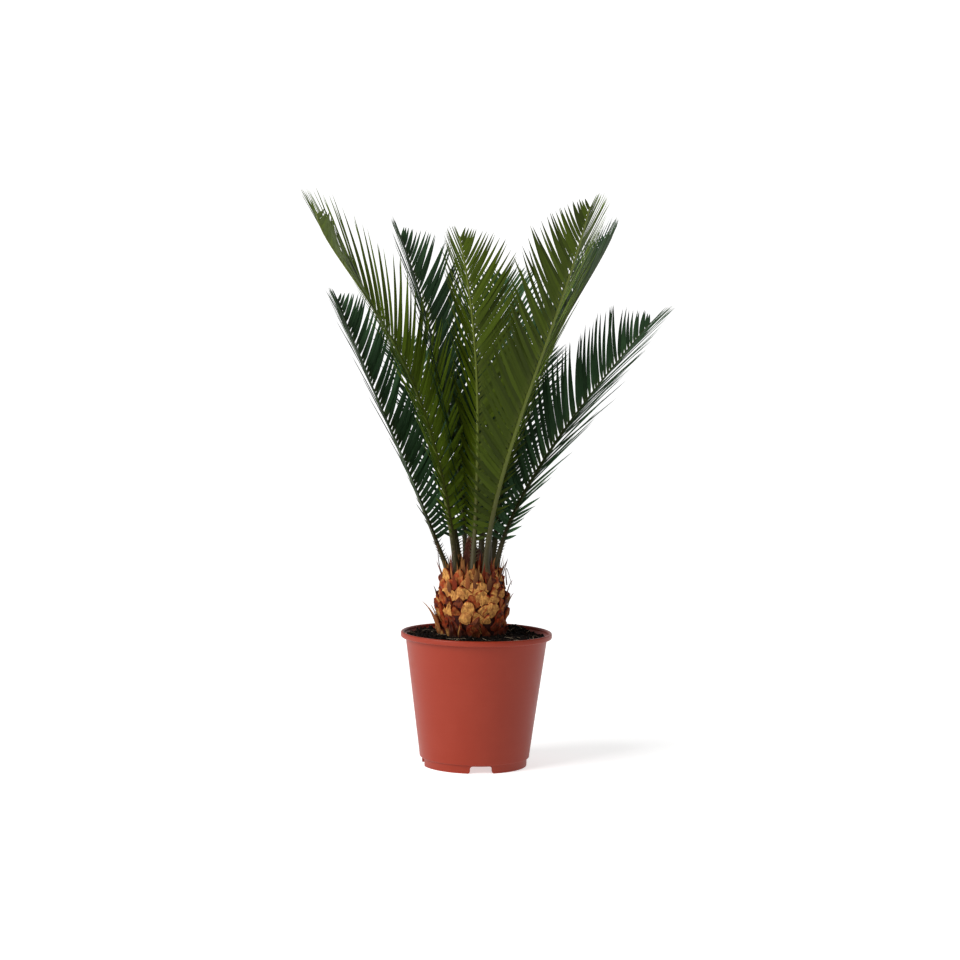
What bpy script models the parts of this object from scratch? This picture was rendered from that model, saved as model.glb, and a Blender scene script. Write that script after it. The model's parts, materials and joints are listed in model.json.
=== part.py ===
"""A young sago palm in a round plastic nursery pot.

A turned pot with a rolled lip and four drain notches is filled with soil. A barrel-shaped caudex covered in old
leaf bases stands on the soil and carries a scaly bud and a ring of feather fronds. Metres, +Z up. The origin is
the middle of the pot on the surface it stands on, and the front is -Y.
"""

from math import cos, pi, radians, sin
from typing import NamedTuple

import bmesh
import bpy
import numpy as np
from mathutils import Matrix, Vector
from mathutils.bvhtree import BVHTree

CLEARANCE = 0.0003
MERGE = 0.00001
FINE_MERGE = 0.0000001

POT_HEIGHT = 0.1505
RIM_RADIUS = 0.085
RIM_INNER_RADIUS = 0.0812
LIP_HEIGHT = 0.0062
WALL_TOP_RADIUS = 0.0795
WALL_FOOT_RADIUS = 0.0618
WALL = 0.0016
FOOT_RADIUS = 0.0592
FOOT_HEIGHT = 0.0095
FOOT_RING_WIDTH = 0.0036
FLOOR_UNDERSIDE = 0.0082
FLOOR_THICKNESS = 0.0018
INNER_CORNER = 0.0016
DIMPLE_RADIUS = 0.011
DIMPLE_UNDERSIDE = 0.0006
DIMPLE_SLOPE = 0.0012
EDGE_ROUND = 0.0008
LIP_ROUND = 0.0016
POT_STEPS = 44
NOTCH_COUNT = 4
NOTCH_WIDTH = 0.0235
NOTCH_HEIGHT = 0.0078
NOTCH_DEPTH = 0.014
NOTCH_PAST_WALL = 0.008
NOTCH_CORNER = 0.003
NOTCH_FIRST_ANGLE = -82.4
DRAIN_COUNT = 6
DRAIN_RADIUS = 0.0045
DRAIN_CIRCLE = 0.034

SOIL_AT_WALL = 0.1415
SOIL_AT_CAUDEX = 0.1492
SOIL_STEPS = 36

CAUDEX_FOOT = 0.1455
CAUDEX_TOP = 0.2165
CAUDEX_FOOT_RADIUS = 0.0385
CAUDEX_WIDEST_RADIUS = 0.0405
CAUDEX_TOP_RADIUS = 0.0352
CAUDEX_STEPS = 28
CAUDEX_CENTRE = (-0.006, 0.0)
BELLY_SHARE = 0.45
SCALE_ROWS = 5
SCALES_A_ROW = 13
SCALE_WIDTH = 0.0150
SCALE_HEIGHT = 0.0120
SCALE_REACH = 0.0038
SCALE_ROOT = 0.0030
SCALE_LEAN = 24
SPIKE_COUNT = 26
SPIKE_LENGTH = 0.021
SPIKE_RADIUS = 0.0026
SPIKE_CIRCLE = 0.0340
SPIKE_GAP = 0.0076
GOLDEN_ANGLE = 2.399963

BUD_CENTRE = (-0.008, -0.001)
BUD_RADIUS = 0.0098
BUD_HEIGHT = 0.040
BUD_SCALES = 9

RIB_BASE_RADIUS = 0.0041
RIB_TIP_RADIUS = 0.0011
RIB_POINTS = 16
BARE_SHARE = 0.10
LEAFLETS_A_SIDE = 24
LEAFLET_WIDTH = 0.0052
LEAFLET_KEEL = 0.0013
LEAFLET_SHORTENED = (1.0, 0.66)
LEAFLET_ANGLE = 42
LEAFLET_FOOT_ANGLE = 40
LEAFLET_TIP_ANGLE = 10
LEAFLET_TURN = -5
LEAFLET_FORWARD = 0.30
LEAFLET_DROOP = 0.20
TAPER_START = 0.70
TAPER_SHARE = 0.85
SPACE_BETWEEN = 0.0004

TERRACOTTA = (0.33, 0.055, 0.028, 1.0)
SOIL_BROWN = (0.018, 0.012, 0.009, 1.0)
CAUDEX_TAN = (0.34, 0.17, 0.07, 1.0)
BUD_BROWN = (0.10, 0.03, 0.02, 1.0)
OLIVE = (0.075, 0.11, 0.02, 1.0)
PINE = (0.025, 0.05, 0.02, 1.0)


class Frond(NamedTuple):
    """One frond: metres and degrees. Lean is from upright, azimuth is from +X towards +Y."""

    name: str
    seat: tuple
    azimuth: float
    sweep: float
    sweep_bend: float
    lean_base: float
    lean_tip: float
    bend: float
    length: float
    lift: float
    roll: float
    twist: float
    leaflet: float
    colour: tuple


FRONDS = (
    Frond("frond_front_left", (-0.022, -0.013), -186, 96, 3.1, 8.8, 59.2, 1.67, 0.460, 20, 18, 20, 0.115, OLIVE),
    Frond("frond_front_centre", (-0.006, -0.024), -113, -3, 1, -7, 28.4, 1.52, 0.382, 24, 12, 2, 0.098, OLIVE),
    Frond("frond_front_right", (0.009, -0.021), -37, -38, 1.3, -11, 38.8, 0.37, 0.450, 22, -4, -24, 0.111, OLIVE),
    Frond("frond_right", (0.021, -0.002), 19, 24, 1.2, -22, 50.6, 0.25, 0.360, 24, -26, 34, 0.112, PINE),
    Frond("frond_left", (-0.033, 0.003), 153, -36, 2.3, 25.6, 39.5, 1.92, 0.352, 34, 16, -32, 0.090, PINE),
    Frond("frond_back_left", (-0.013, 0.018), 133, -8, 1.1, 1, 34.2, 0.78, 0.410, 27, -8, -14, 0.112, PINE),
    Frond("frond_back_right", (0.012, 0.017), 21, 49, 2.1, -2.4, 54, 0.89, 0.452, 30, 16, 18, 0.103, PINE),
    Frond("frond_back_centre", (0.003, 0.027), 78, 8, 1.1, 7.8, 48.5, 1.07, 0.388, 28, 4, -3, 0.098, PINE),
    Frond("frond_low_back_left", (-0.020, 0.026), 112, -8, 1, 22, 66, 1.1, 0.360, 24, 0, 0, 0.090, PINE),
    Frond("frond_low_back_right", (0.015, 0.024), 74, 8, 1, 24, 68, 1.1, 0.350, 24, 0, 0, 0.090, PINE),
)


def clear_scene():
    """Remove every object of the open scene."""
    for thing in list(bpy.data.objects):
        bpy.data.objects.remove(thing, do_unlink=True)


def new_collection(name):
    """An empty collection in the scene."""
    made = bpy.data.collections.new(name)
    bpy.context.scene.collection.children.link(made)
    return made


def material(name, colour, roughness):
    """A plain surface with one colour and roughness."""
    made = bpy.data.materials.new(name)
    made.use_nodes = True
    surface = made.node_tree.nodes["Principled BSDF"]
    surface.inputs["Base Color"].default_value = colour
    surface.inputs["Roughness"].default_value = roughness
    surface.inputs["Metallic"].default_value = 0.0
    return made


def mesh_object(name, vertices, faces, collection):
    """An object from vertices and faces, its normals turned outwards."""
    mesh = bpy.data.meshes.new(name)
    mesh.from_pydata(vertices, [], faces)
    work = bmesh.new()
    work.from_mesh(mesh)
    bmesh.ops.recalc_face_normals(work, faces=work.faces)
    work.to_mesh(mesh)
    work.free()
    made = bpy.data.objects.new(name, mesh)
    collection.objects.link(made)
    return made


def cone_object(name, segments, base_radius, tip_radius, height, matrix, collection):
    """A cone or cylinder along its own +Z, standing on its base, placed by a matrix."""
    work = bmesh.new()
    bmesh.ops.create_cone(
        work, cap_ends=True, segments=segments, radius1=base_radius, radius2=tip_radius, depth=height
    )
    bmesh.ops.translate(work, verts=work.verts, vec=(0, 0, height / 2))
    bmesh.ops.transform(work, matrix=matrix, verts=work.verts)
    mesh = bpy.data.meshes.new(name)
    work.to_mesh(mesh)
    work.free()
    made = bpy.data.objects.new(name, mesh)
    collection.objects.link(made)
    return made


def turned(name, profile, steps, collection):
    """A solid turned about Z from a profile of (radius, height) that starts and ends on the axis."""
    mesh = bpy.data.meshes.new(name)
    edges = [(i, i + 1) for i in range(len(profile) - 1)]
    mesh.from_pydata([(radius, 0, height) for radius, height in profile], edges, [])
    made = bpy.data.objects.new(name, mesh)
    collection.objects.link(made)
    screw = made.modifiers.new("Turn", "SCREW")
    screw.steps = steps
    screw.render_steps = steps
    screw.use_merge_vertices = True
    screw.merge_threshold = MERGE
    return made


def evaluated_mesh(thing, weld=MERGE):
    """The object's mesh with its modifiers, or the mesh of a curve, with doubled points welded."""
    bpy.context.view_layer.update()
    graph = bpy.context.evaluated_depsgraph_get()
    mesh = bpy.data.meshes.new_from_object(thing.evaluated_get(graph), depsgraph=graph)
    work = bmesh.new()
    work.from_mesh(mesh)
    bmesh.ops.remove_doubles(work, verts=work.verts, dist=weld)
    work.to_mesh(mesh)
    work.free()
    return mesh


def is_closed(mesh):
    """True where every edge of the mesh has two faces."""
    work = bmesh.new()
    work.from_mesh(mesh)
    closed = all(len(edge.link_faces) == 2 for edge in work.edges)
    work.free()
    return closed


def combine(target, pieces, operation):
    """Join a collection of pieces to the target, or cut it with them, then remove the pieces."""
    boolean = target.modifiers.new("Combine", "BOOLEAN")
    boolean.operand_type = "COLLECTION"
    boolean.collection = pieces
    boolean.operation = operation
    boolean.solver = "EXACT"
    mesh = evaluated_mesh(target, FINE_MERGE)
    if not is_closed(mesh):
        boolean.solver = "MANIFOLD"
        mesh = evaluated_mesh(target, FINE_MERGE)
    target.modifiers.clear()
    target.data = mesh
    for piece in list(pieces.objects):
        bpy.data.objects.remove(piece, do_unlink=True)
    bpy.data.collections.remove(pieces)


def keep_largest(thing):
    """Drop loose scraps: only the connected body with the most vertices stays."""
    work = bmesh.new()
    work.from_mesh(thing.data)
    unseen = set(work.verts)
    bodies = []
    while unseen:
        front = [unseen.pop()]
        body = set(front)
        while front:
            for edge in front.pop().link_edges:
                for vertex in edge.verts:
                    if vertex in unseen:
                        unseen.discard(vertex)
                        body.add(vertex)
                        front.append(vertex)
        bodies.append(body)
    bodies.sort(key=len, reverse=True)
    scraps = [vertex for body in bodies[1:] for vertex in body]
    bmesh.ops.delete(work, geom=scraps, context="VERTS")
    work.to_mesh(thing.data)
    work.free()


def finish(thing, surface):
    """Give the object its material and smooth round faces with sharp creases."""
    thing.data.materials.clear()
    thing.data.materials.append(surface)
    thing.data.shade_smooth()
    thing.data.set_sharp_from_angle(angle=radians(35))


def face_tree(thing):
    """A search tree of the object's faces, for finding where two pieces touch."""
    vertices = [vertex.co.copy() for vertex in thing.data.vertices]
    return BVHTree.FromPolygons(vertices, [tuple(face.vertices) for face in thing.data.polygons])


def pot_profile():
    """The pot's section from the floor's middle up the inner wall, over the lip, down and under the foot.

    The floor is raised inside the foot ring, and its middle dips to just above the surface the pot stands on.
    """
    floor_top = FLOOR_UNDERSIDE + FLOOR_THICKNESS
    lip_foot = POT_HEIGHT - LIP_HEIGHT
    ring_inner = FOOT_RADIUS - FOOT_RING_WIDTH
    cup_top, cup_foot = cup_radii()
    return [
        (0, DIMPLE_UNDERSIDE + FLOOR_THICKNESS),
        (cup_foot, DIMPLE_UNDERSIDE + FLOOR_THICKNESS),
        (cup_top, floor_top),
        (WALL_FOOT_RADIUS - WALL - INNER_CORNER, floor_top),
        (WALL_FOOT_RADIUS - WALL, floor_top + INNER_CORNER),
        (WALL_TOP_RADIUS - WALL, lip_foot),
        (RIM_INNER_RADIUS - EDGE_ROUND, POT_HEIGHT - EDGE_ROUND),
        (RIM_INNER_RADIUS, POT_HEIGHT),
        (RIM_RADIUS - LIP_ROUND, POT_HEIGHT),
        (RIM_RADIUS, POT_HEIGHT - LIP_ROUND),
        (RIM_RADIUS, lip_foot + LIP_ROUND),
        (RIM_RADIUS - LIP_ROUND, lip_foot),
        (WALL_TOP_RADIUS, lip_foot - EDGE_ROUND / 2),
        (WALL_FOOT_RADIUS, FOOT_HEIGHT + LIP_ROUND),
        (FOOT_RADIUS + EDGE_ROUND, FOOT_HEIGHT),
        (FOOT_RADIUS, EDGE_ROUND),
        (FOOT_RADIUS - EDGE_ROUND, 0),
        (ring_inner, 0),
        (ring_inner - EDGE_ROUND, FLOOR_UNDERSIDE),
        (DIMPLE_RADIUS, FLOOR_UNDERSIDE),
        (DIMPLE_RADIUS - DIMPLE_SLOPE, DIMPLE_UNDERSIDE),
        (0, DIMPLE_UNDERSIDE),
    ]


def cup_radii():
    """The radii of the hollow inside the floor's dimple, at the floor and at its own bottom."""
    return DIMPLE_RADIUS - FLOOR_THICKNESS, DIMPLE_RADIUS - FLOOR_THICKNESS - DIMPLE_SLOPE


def build_pot(home):
    """The thin-walled pot with its lip, four notches through the foot and a ring of drain holes."""
    pot = turned("pot", pot_profile(), POT_STEPS, home)
    pot.data = evaluated_mesh(pot)
    pot.modifiers.clear()
    cutters = new_collection("pot_cutters")
    for i in range(NOTCH_COUNT):
        angle = radians(NOTCH_FIRST_ANGLE + 360 * i / NOTCH_COUNT)
        middle = FOOT_RADIUS + NOTCH_PAST_WALL - NOTCH_DEPTH / 2
        work = bmesh.new()
        bmesh.ops.create_cube(work, size=1)
        bmesh.ops.scale(work, vec=(NOTCH_DEPTH, NOTCH_WIDTH, 2 * NOTCH_HEIGHT), verts=work.verts)
        along = [edge for edge in work.edges if abs(edge.verts[0].co.x - edge.verts[1].co.x) > MERGE]
        bmesh.ops.bevel(work, geom=along, offset=NOTCH_CORNER, segments=3, profile=0.5, affect="EDGES")
        bmesh.ops.translate(work, vec=(middle, 0, 0), verts=work.verts)
        bmesh.ops.rotate(work, cent=(0, 0, 0), matrix=Matrix.Rotation(angle, 3, "Z"), verts=work.verts)
        mesh = bpy.data.meshes.new("notch")
        work.to_mesh(mesh)
        work.free()
        notch = bpy.data.objects.new("notch", mesh)
        notch.hide_render = True
        notch.display_type = "WIRE"
        cutters.objects.link(notch)
    for i in range(DRAIN_COUNT):
        angle = 2 * pi * i / DRAIN_COUNT
        place = Matrix.Translation((DRAIN_CIRCLE * cos(angle), DRAIN_CIRCLE * sin(angle), 0))
        drain = cone_object("drain", 10, DRAIN_RADIUS, DRAIN_RADIUS, 2 * FLOOR_UNDERSIDE, place, cutters)
        drain.hide_render = True
        drain.display_type = "WIRE"
    combine(pot, cutters, "DIFFERENCE")
    finish(pot, material("terracotta_plastic", TERRACOTTA, 0.45))
    return pot


def pot_inner_radius(height):
    """The radius of the pot's inner wall at a height."""
    low = FLOOR_UNDERSIDE + FLOOR_THICKNESS + INNER_CORNER
    high = POT_HEIGHT - LIP_HEIGHT
    share = (height - low) / (high - low)
    return (WALL_FOOT_RADIUS - WALL) * (1 - share) + (WALL_TOP_RADIUS - WALL) * share


def build_soil(home):
    """The filling: it follows the pot's inside and mounds up round a seat for the caudex."""
    floor_top = FLOOR_UNDERSIDE + FLOOR_THICKNESS
    bottom = floor_top + CLEARANCE
    low = floor_top + INNER_CORNER
    cup_bottom = DIMPLE_UNDERSIDE + FLOOR_THICKNESS + CLEARANCE
    cup_top, cup_foot = cup_radii()
    side_gap = 2 * CLEARANCE
    seat_radius = CAUDEX_FOOT_RADIUS + side_gap
    seat = CAUDEX_FOOT - CLEARANCE
    wall_radius = pot_inner_radius(SOIL_AT_WALL) - side_gap
    profile = [
        (0, SOIL_AT_CAUDEX),
        (seat_radius + side_gap, SOIL_AT_CAUDEX),
        (seat_radius + (wall_radius - seat_radius) * 0.2, SOIL_AT_CAUDEX - 0.0006),
        (seat_radius + (wall_radius - seat_radius) * 0.6, (SOIL_AT_CAUDEX + SOIL_AT_WALL) / 2),
        (wall_radius, SOIL_AT_WALL),
        (pot_inner_radius(low) - side_gap, low),
        (WALL_FOOT_RADIUS - WALL - INNER_CORNER - side_gap, bottom),
        (cup_top - side_gap, bottom),
        (cup_foot - side_gap, cup_bottom),
        (0, cup_bottom),
    ]
    soil = turned("soil", profile, SOIL_STEPS, home)
    soil.data = evaluated_mesh(soil)
    soil.modifiers.clear()
    seats = new_collection("caudex_seat")
    place = Matrix.Translation((*CAUDEX_CENTRE, seat))
    hole = cone_object("seat", CAUDEX_STEPS, seat_radius, seat_radius + side_gap, POT_HEIGHT - seat, place, seats)
    hole.hide_render = True
    combine(soil, seats, "DIFFERENCE")
    finish(soil, material("potting_soil", SOIL_BROWN, 0.95))
    return soil


def caudex_radius(height):
    """The barrel's radius: a foot, a belly a little above it and a flat shoulder."""
    share = (height - CAUDEX_FOOT) / (CAUDEX_TOP - CAUDEX_FOOT)
    if share < BELLY_SHARE:
        rise = sin(share / BELLY_SHARE * pi / 2)
        return CAUDEX_FOOT_RADIUS + (CAUDEX_WIDEST_RADIUS - CAUDEX_FOOT_RADIUS) * rise
    fall = (share - BELLY_SHARE) / (1 - BELLY_SHARE)
    return CAUDEX_WIDEST_RADIUS - (CAUDEX_WIDEST_RADIUS - CAUDEX_TOP_RADIUS) * fall**2.4


def clear_of_lines(points, lines, gap):
    """True where no point comes within the gap of any line of points."""
    for line in lines:
        for point in points:
            if np.linalg.norm(line - point, axis=1).min() < gap:
                return False
    return True


def bud_line():
    """Points up the middle of the bud."""
    return np.array([[*BUD_CENTRE, CAUDEX_TOP + BUD_HEIGHT * share] for share in np.linspace(0, 1, 8)])


def build_caudex(home):
    """The barrel with spiral rows of old leaf bases and a crown of dry scale leaves between the petioles."""
    heights = np.linspace(CAUDEX_TOP, CAUDEX_FOOT, 8)
    profile = [(0, CAUDEX_TOP)]
    profile += [(caudex_radius(height), height) for height in heights]
    profile += [(0, CAUDEX_FOOT)]
    caudex = turned("caudex", profile, CAUDEX_STEPS, home)
    caudex.data = evaluated_mesh(caudex)
    caudex.modifiers.clear()
    centre = Matrix.Translation((*CAUDEX_CENTRE, 0))
    caudex.data.transform(centre)
    bases = new_collection("caudex_bases")
    rib_lines = [frond_frames(frond, 100)[0] for frond in FRONDS]
    for row in range(SCALE_ROWS):
        height = CAUDEX_FOOT + SCALE_HEIGHT + row * (CAUDEX_TOP - CAUDEX_FOOT - 1.7 * SCALE_HEIGHT) / (SCALE_ROWS - 1)
        for i in range(SCALES_A_ROW):
            angle = 2 * pi * (i + 0.5 * row) / SCALES_A_ROW
            place = (
                centre
                @ Matrix.Rotation(angle, 4, "Z")
                @ Matrix.Translation((caudex_radius(height) - SCALE_ROOT, 0, height))
                @ Matrix.Rotation(radians(90 - SCALE_LEAN), 4, "Y")
                @ Matrix.Diagonal((SCALE_HEIGHT, SCALE_WIDTH, 1, 1))
            )
            cone_object("leaf_base", 4, 0.5, 0.34, SCALE_REACH + SCALE_ROOT, place, bases)
    for i in range(SPIKE_COUNT):
        angle = GOLDEN_ANGLE * i
        circle = SPIKE_CIRCLE * (1 - 0.30 * (i % 3) / 2)
        place = (
            centre
            @ Matrix.Rotation(angle, 4, "Z")
            @ Matrix.Translation((circle, 0, CAUDEX_TOP - 0.003))
            @ Matrix.Rotation(radians(16 - 6 * (i % 3)), 4, "Y")
            @ Matrix.Rotation(radians(45), 4, "Z")
        )
        length = SPIKE_LENGTH * (1 - 0.18 * (i % 4))
        axis = [np.array(place @ Vector((0, 0, length * share))) for share in (0, 0.33, 0.66, 1)]
        if clear_of_lines(axis, rib_lines, SPIKE_GAP) and clear_of_lines(axis, [bud_line()], BUD_RADIUS + 0.003):
            cone_object("scale_leaf", 4, SPIKE_RADIUS, 0.0004, length, place, bases)
    combine(caudex, bases, "UNION")
    keep_largest(caudex)
    finish(caudex, material("leaf_base_tan", CAUDEX_TAN, 0.75))
    return caudex


def build_bud(home):
    """The scaly bud in the middle of the crown: a short cone with pointed scales round it."""
    base = CAUDEX_TOP + CLEARANCE
    place = Matrix.Translation((*BUD_CENTRE, base))
    bud = cone_object("crown_bud", 12, BUD_RADIUS * 0.8, BUD_RADIUS * 0.35, BUD_HEIGHT * 0.8, place, home)
    scales = new_collection("bud_scales")
    for i in range(BUD_SCALES):
        turn = Matrix.Rotation(GOLDEN_ANGLE * i, 4, "Z")
        stand = Matrix.Translation((BUD_RADIUS * 0.45, 0, BUD_HEIGHT * (0.04 + 0.05 * i)))
        lean = Matrix.Rotation(radians(10), 4, "Y")
        height = BUD_HEIGHT * (0.62 + 0.03 * (i % 3))
        cone_object("bud_scale", 4, BUD_RADIUS * 0.36, 0.0005, height, place @ turn @ stand @ lean, scales)
    combine(bud, scales, "UNION")
    keep_largest(bud)
    finish(bud, material("bud_brown", BUD_BROWN, 0.8))
    return bud


def lean_at(frond, share):
    """How far the rib leans from upright at a share of its length, in radians."""
    return np.radians(frond.lean_base + (frond.lean_tip - frond.lean_base) * share**frond.bend)


def frond_frames(frond, count):
    """Points along the rib with the way it runs, its side and the face it turns to the sky.

    The rib leans by lean_base at its foot and lean_tip at its end, by the power bend of the share along it, and
    its azimuth turns by sweep on the way, by the power sweep_bend. Roll turns side and face about the rib, and
    twist adds to it evenly.
    """
    share = (np.arange(count) + 0.5) / count
    lean = lean_at(frond, share)
    azimuth = np.radians(frond.azimuth + frond.sweep * share**frond.sweep_bend)
    step = np.stack([np.sin(lean) * np.cos(azimuth), np.sin(lean) * np.sin(azimuth), np.cos(lean)], 1)
    dip = RIB_BASE_RADIUS * abs(sin(lean_at(frond, 0.5 / (RIB_POINTS - 1))))
    start = np.array([*frond.seat, CAUDEX_TOP + CLEARANCE + dip])
    points = np.vstack([start, start + np.cumsum(step, 0) * frond.length / count])
    along = np.vstack([step[:1], (step[1:] + step[:-1]) / 2, step[-1:]])
    along /= np.linalg.norm(along, axis=1)[:, None]
    turn = np.concatenate([azimuth[:1], (azimuth[1:] + azimuth[:-1]) / 2, azimuth[-1:]])
    side = np.stack([np.sin(turn), -np.cos(turn), 0 * turn], 1)
    side -= along * (side * along).sum(1)[:, None]
    side /= np.linalg.norm(side, axis=1)[:, None]
    face = np.cross(side, along)
    roll = np.radians(frond.roll + frond.twist * np.linspace(0, 1, count + 1))[:, None]
    return points, along, np.cos(roll) * side + np.sin(roll) * face, np.cos(roll) * face - np.sin(roll) * side


def frame_at(frames, share):
    """The rib's point and its three directions at a share of its length."""
    count = len(frames[0]) - 1
    low = min(int(share * count), count - 1)
    part = share * count - low
    return [values[low] * (1 - part) + values[low + 1] * part for values in frames]


def leaflet_reach(frond, u):
    """A leaflet's length: a quarter at the foot of the blade, full from a third up, short at its very tip."""
    taper = TAPER_SHARE * max(0, (u - TAPER_START) / (1 - TAPER_START)) ** 1.3
    return frond.leaflet * min(1, 0.25 + 2.4 * u) * (1 - taper)


def leaflet_angle(u):
    """The angle between leaflet and rib: nearly square at the foot, narrow at the tip, in radians."""
    return radians(LEAFLET_ANGLE + LEAFLET_FOOT_ANGLE * np.exp(-7 * u) - LEAFLET_TIP_ANGLE * u**4)


def leaflet_spine(frond, frames, u, hand, reach):
    """Root, middle and tip of a leaflet and the way its blade is wide. Hand is 1 or -1 for the two rows."""
    root, along, side, face = frame_at(frames, BARE_SHARE + (1 - BARE_SHARE) * 0.995 * u)
    lift = radians(frond.lift)
    angle = leaflet_angle(u)
    outward = cos(lift) * hand * side + sin(lift) * face
    first = cos(angle) * along + sin(angle) * outward
    droop = np.array([0, 0, -1]) * LEAFLET_DROOP * sin(angle)
    second = first + LEAFLET_FORWARD * along + droop
    second /= np.linalg.norm(second)
    middle = root + first * reach * 0.5
    tip = middle + second * reach * 0.5
    wide = along - first * (along @ first)
    wide /= np.linalg.norm(wide)
    up = np.cross(first, wide) * hand
    wide = cos(radians(LEAFLET_TURN)) * wide + sin(radians(LEAFLET_TURN)) * up
    return root, middle, tip, wide, first


def leaflet_mesh(spine, width, keel):
    """A keeled leaflet: a narrow three-sided root, a wide three-sided middle and a pointed tip."""
    root, middle, tip, wide, first = spine
    down = np.cross(first, wide)
    down /= np.linalg.norm(down)
    vertices = []
    for point, scale in ((root, 0.62), (middle, 1.0)):
        half = wide * width * scale / 2
        vertices += [point - half, point + half, point - down * keel * (0.6 + 0.4 * scale)]
    vertices.append(tip)
    faces = [(0, 1, 2), (0, 3, 4, 1), (1, 4, 5, 2), (2, 5, 3, 0), (3, 6, 4), (4, 6, 5), (5, 6, 3)]
    return [tuple(vertex) for vertex in vertices], faces


def build_rib(frond, home):
    """The frond's petiole and rib: a four-sided wire that tapers from the caudex to the tip."""
    points = frond_frames(frond, RIB_POINTS - 1)[0]
    curve = bpy.data.curves.new(frond.name, "CURVE")
    curve.dimensions = "3D"
    curve.bevel_depth = RIB_BASE_RADIUS
    curve.bevel_resolution = 0
    curve.use_fill_caps = True
    spline = curve.splines.new("POLY")
    spline.points.add(len(points) - 1)
    for i, point in enumerate(points):
        share = i / (len(points) - 1)
        spline.points[i].co = (*point, 1)
        spline.points[i].radius = 1 - (1 - RIB_TIP_RADIUS / RIB_BASE_RADIUS) * share**0.8
    wire = bpy.data.objects.new(frond.name + "_wire", curve)
    home.objects.link(wire)
    rib = bpy.data.objects.new(frond.name, evaluated_mesh(wire))
    rib.matrix_world = wire.matrix_world
    home.objects.link(rib)
    bpy.data.objects.remove(wire, do_unlink=True)
    return rib


def touches(vertices, faces, trees):
    """True where the faces meet any of the search trees."""
    tree = BVHTree.FromPolygons([Vector(vertex) for vertex in vertices], faces)
    return any(tree.overlap(other) for other in trees)


def add_leaflets(frond, rib, others):
    """Both rows of leaflets joined to the rib. A leaflet that would meet another piece is cut short or skipped."""
    frames = frond_frames(frond, 60)
    pieces = new_collection(frond.name + "_leaflets")
    blade_vertices = []
    blade_faces = []
    for i in range(LEAFLETS_A_SIDE):
        for hand in (-1, 1):
            u = (i + 0.5 + 0.22 * hand) / LEAFLETS_A_SIDE
            for shortened in LEAFLET_SHORTENED:
                spine = leaflet_spine(frond, frames, u, hand, leaflet_reach(frond, u) * shortened)
                width = LEAFLET_WIDTH * (1 - 0.35 * u)
                around = leaflet_mesh(spine, width + 2 * SPACE_BETWEEN, LEAFLET_KEEL + 2 * SPACE_BETWEEN)
                if not touches(*around, others):
                    vertices, faces = leaflet_mesh(spine, width, LEAFLET_KEEL)
                    mesh_object("leaflet", vertices, faces, pieces)
                    first = len(blade_vertices)
                    blade_vertices += [Vector(vertex) for vertex in vertices]
                    blade_faces += [tuple(index + first for index in face) for face in faces]
                    break
    combine(rib, pieces, "UNION")
    keep_largest(rib)
    return BVHTree.FromPolygons(blade_vertices, blade_faces)


def main():
    """Build the whole plant in its pot."""
    clear_scene()
    home = new_collection("sago_palm")
    build_pot(home)
    build_soil(home)
    ribs = {frond.name: build_rib(frond, home) for frond in FRONDS}
    rib_trees = {name: face_tree(rib) for name, rib in ribs.items()}
    caudex = build_caudex(home)
    bud = build_bud(home)
    taken = [face_tree(caudex), face_tree(bud)]
    for frond in FRONDS:
        others = taken + [tree for name, tree in rib_trees.items() if name != frond.name]
        taken.append(add_leaflets(frond, ribs[frond.name], others))
        surface = material(frond.name + "_green", frond.colour, 0.5)
        finish(ribs[frond.name], surface)


main()
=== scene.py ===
"""The looks of a young sago palm in its terracotta-coloured nursery pot.

Fine surfaces take the place of the plain solids: a moulded pot, crumbly soil, a caudex of old leaf bases
with dry scale leaves, a woolly bud, and for each frond a rib and its leaflets, grown by the same rule as
the solids.
Metres, +Z up, the front is -Y.
"""

import json
from math import cos, pi, radians, sin
from typing import NamedTuple

import bmesh
import bpy
import numpy as np
from bpy.props import FloatProperty, FloatVectorProperty, IntProperty, PointerProperty
from mathutils import Matrix, Vector

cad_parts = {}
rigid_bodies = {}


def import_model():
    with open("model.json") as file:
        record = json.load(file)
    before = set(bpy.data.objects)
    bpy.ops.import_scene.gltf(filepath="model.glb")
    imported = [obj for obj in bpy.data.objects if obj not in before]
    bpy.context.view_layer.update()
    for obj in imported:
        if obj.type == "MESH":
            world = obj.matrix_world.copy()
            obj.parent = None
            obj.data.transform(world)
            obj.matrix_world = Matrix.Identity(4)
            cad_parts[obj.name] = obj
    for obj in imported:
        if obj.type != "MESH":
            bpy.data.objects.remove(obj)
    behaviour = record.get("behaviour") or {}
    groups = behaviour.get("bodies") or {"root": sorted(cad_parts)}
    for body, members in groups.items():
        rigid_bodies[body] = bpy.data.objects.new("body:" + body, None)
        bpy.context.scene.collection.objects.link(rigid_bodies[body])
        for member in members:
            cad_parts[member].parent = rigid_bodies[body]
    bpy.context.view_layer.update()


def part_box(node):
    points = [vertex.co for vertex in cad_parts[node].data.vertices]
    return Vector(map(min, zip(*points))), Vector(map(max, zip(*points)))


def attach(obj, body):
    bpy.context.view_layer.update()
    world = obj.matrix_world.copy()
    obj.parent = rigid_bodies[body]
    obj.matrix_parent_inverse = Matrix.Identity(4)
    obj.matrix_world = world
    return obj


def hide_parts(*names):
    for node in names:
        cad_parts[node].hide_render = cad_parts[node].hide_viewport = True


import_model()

bl_info = {
    "name": "Potted Sago Palm",
    "version": (1, 0, 0),
    "blender": (4, 5, 0),
    "location": "View3D > Sidebar > Sago Palm",
    "description": "Builds the looks of a young sago palm in a plastic nursery pot",
    "category": "Add Mesh",
}

POT_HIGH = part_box("pot")[1]
BUD_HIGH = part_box("crown_bud")[1]

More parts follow.
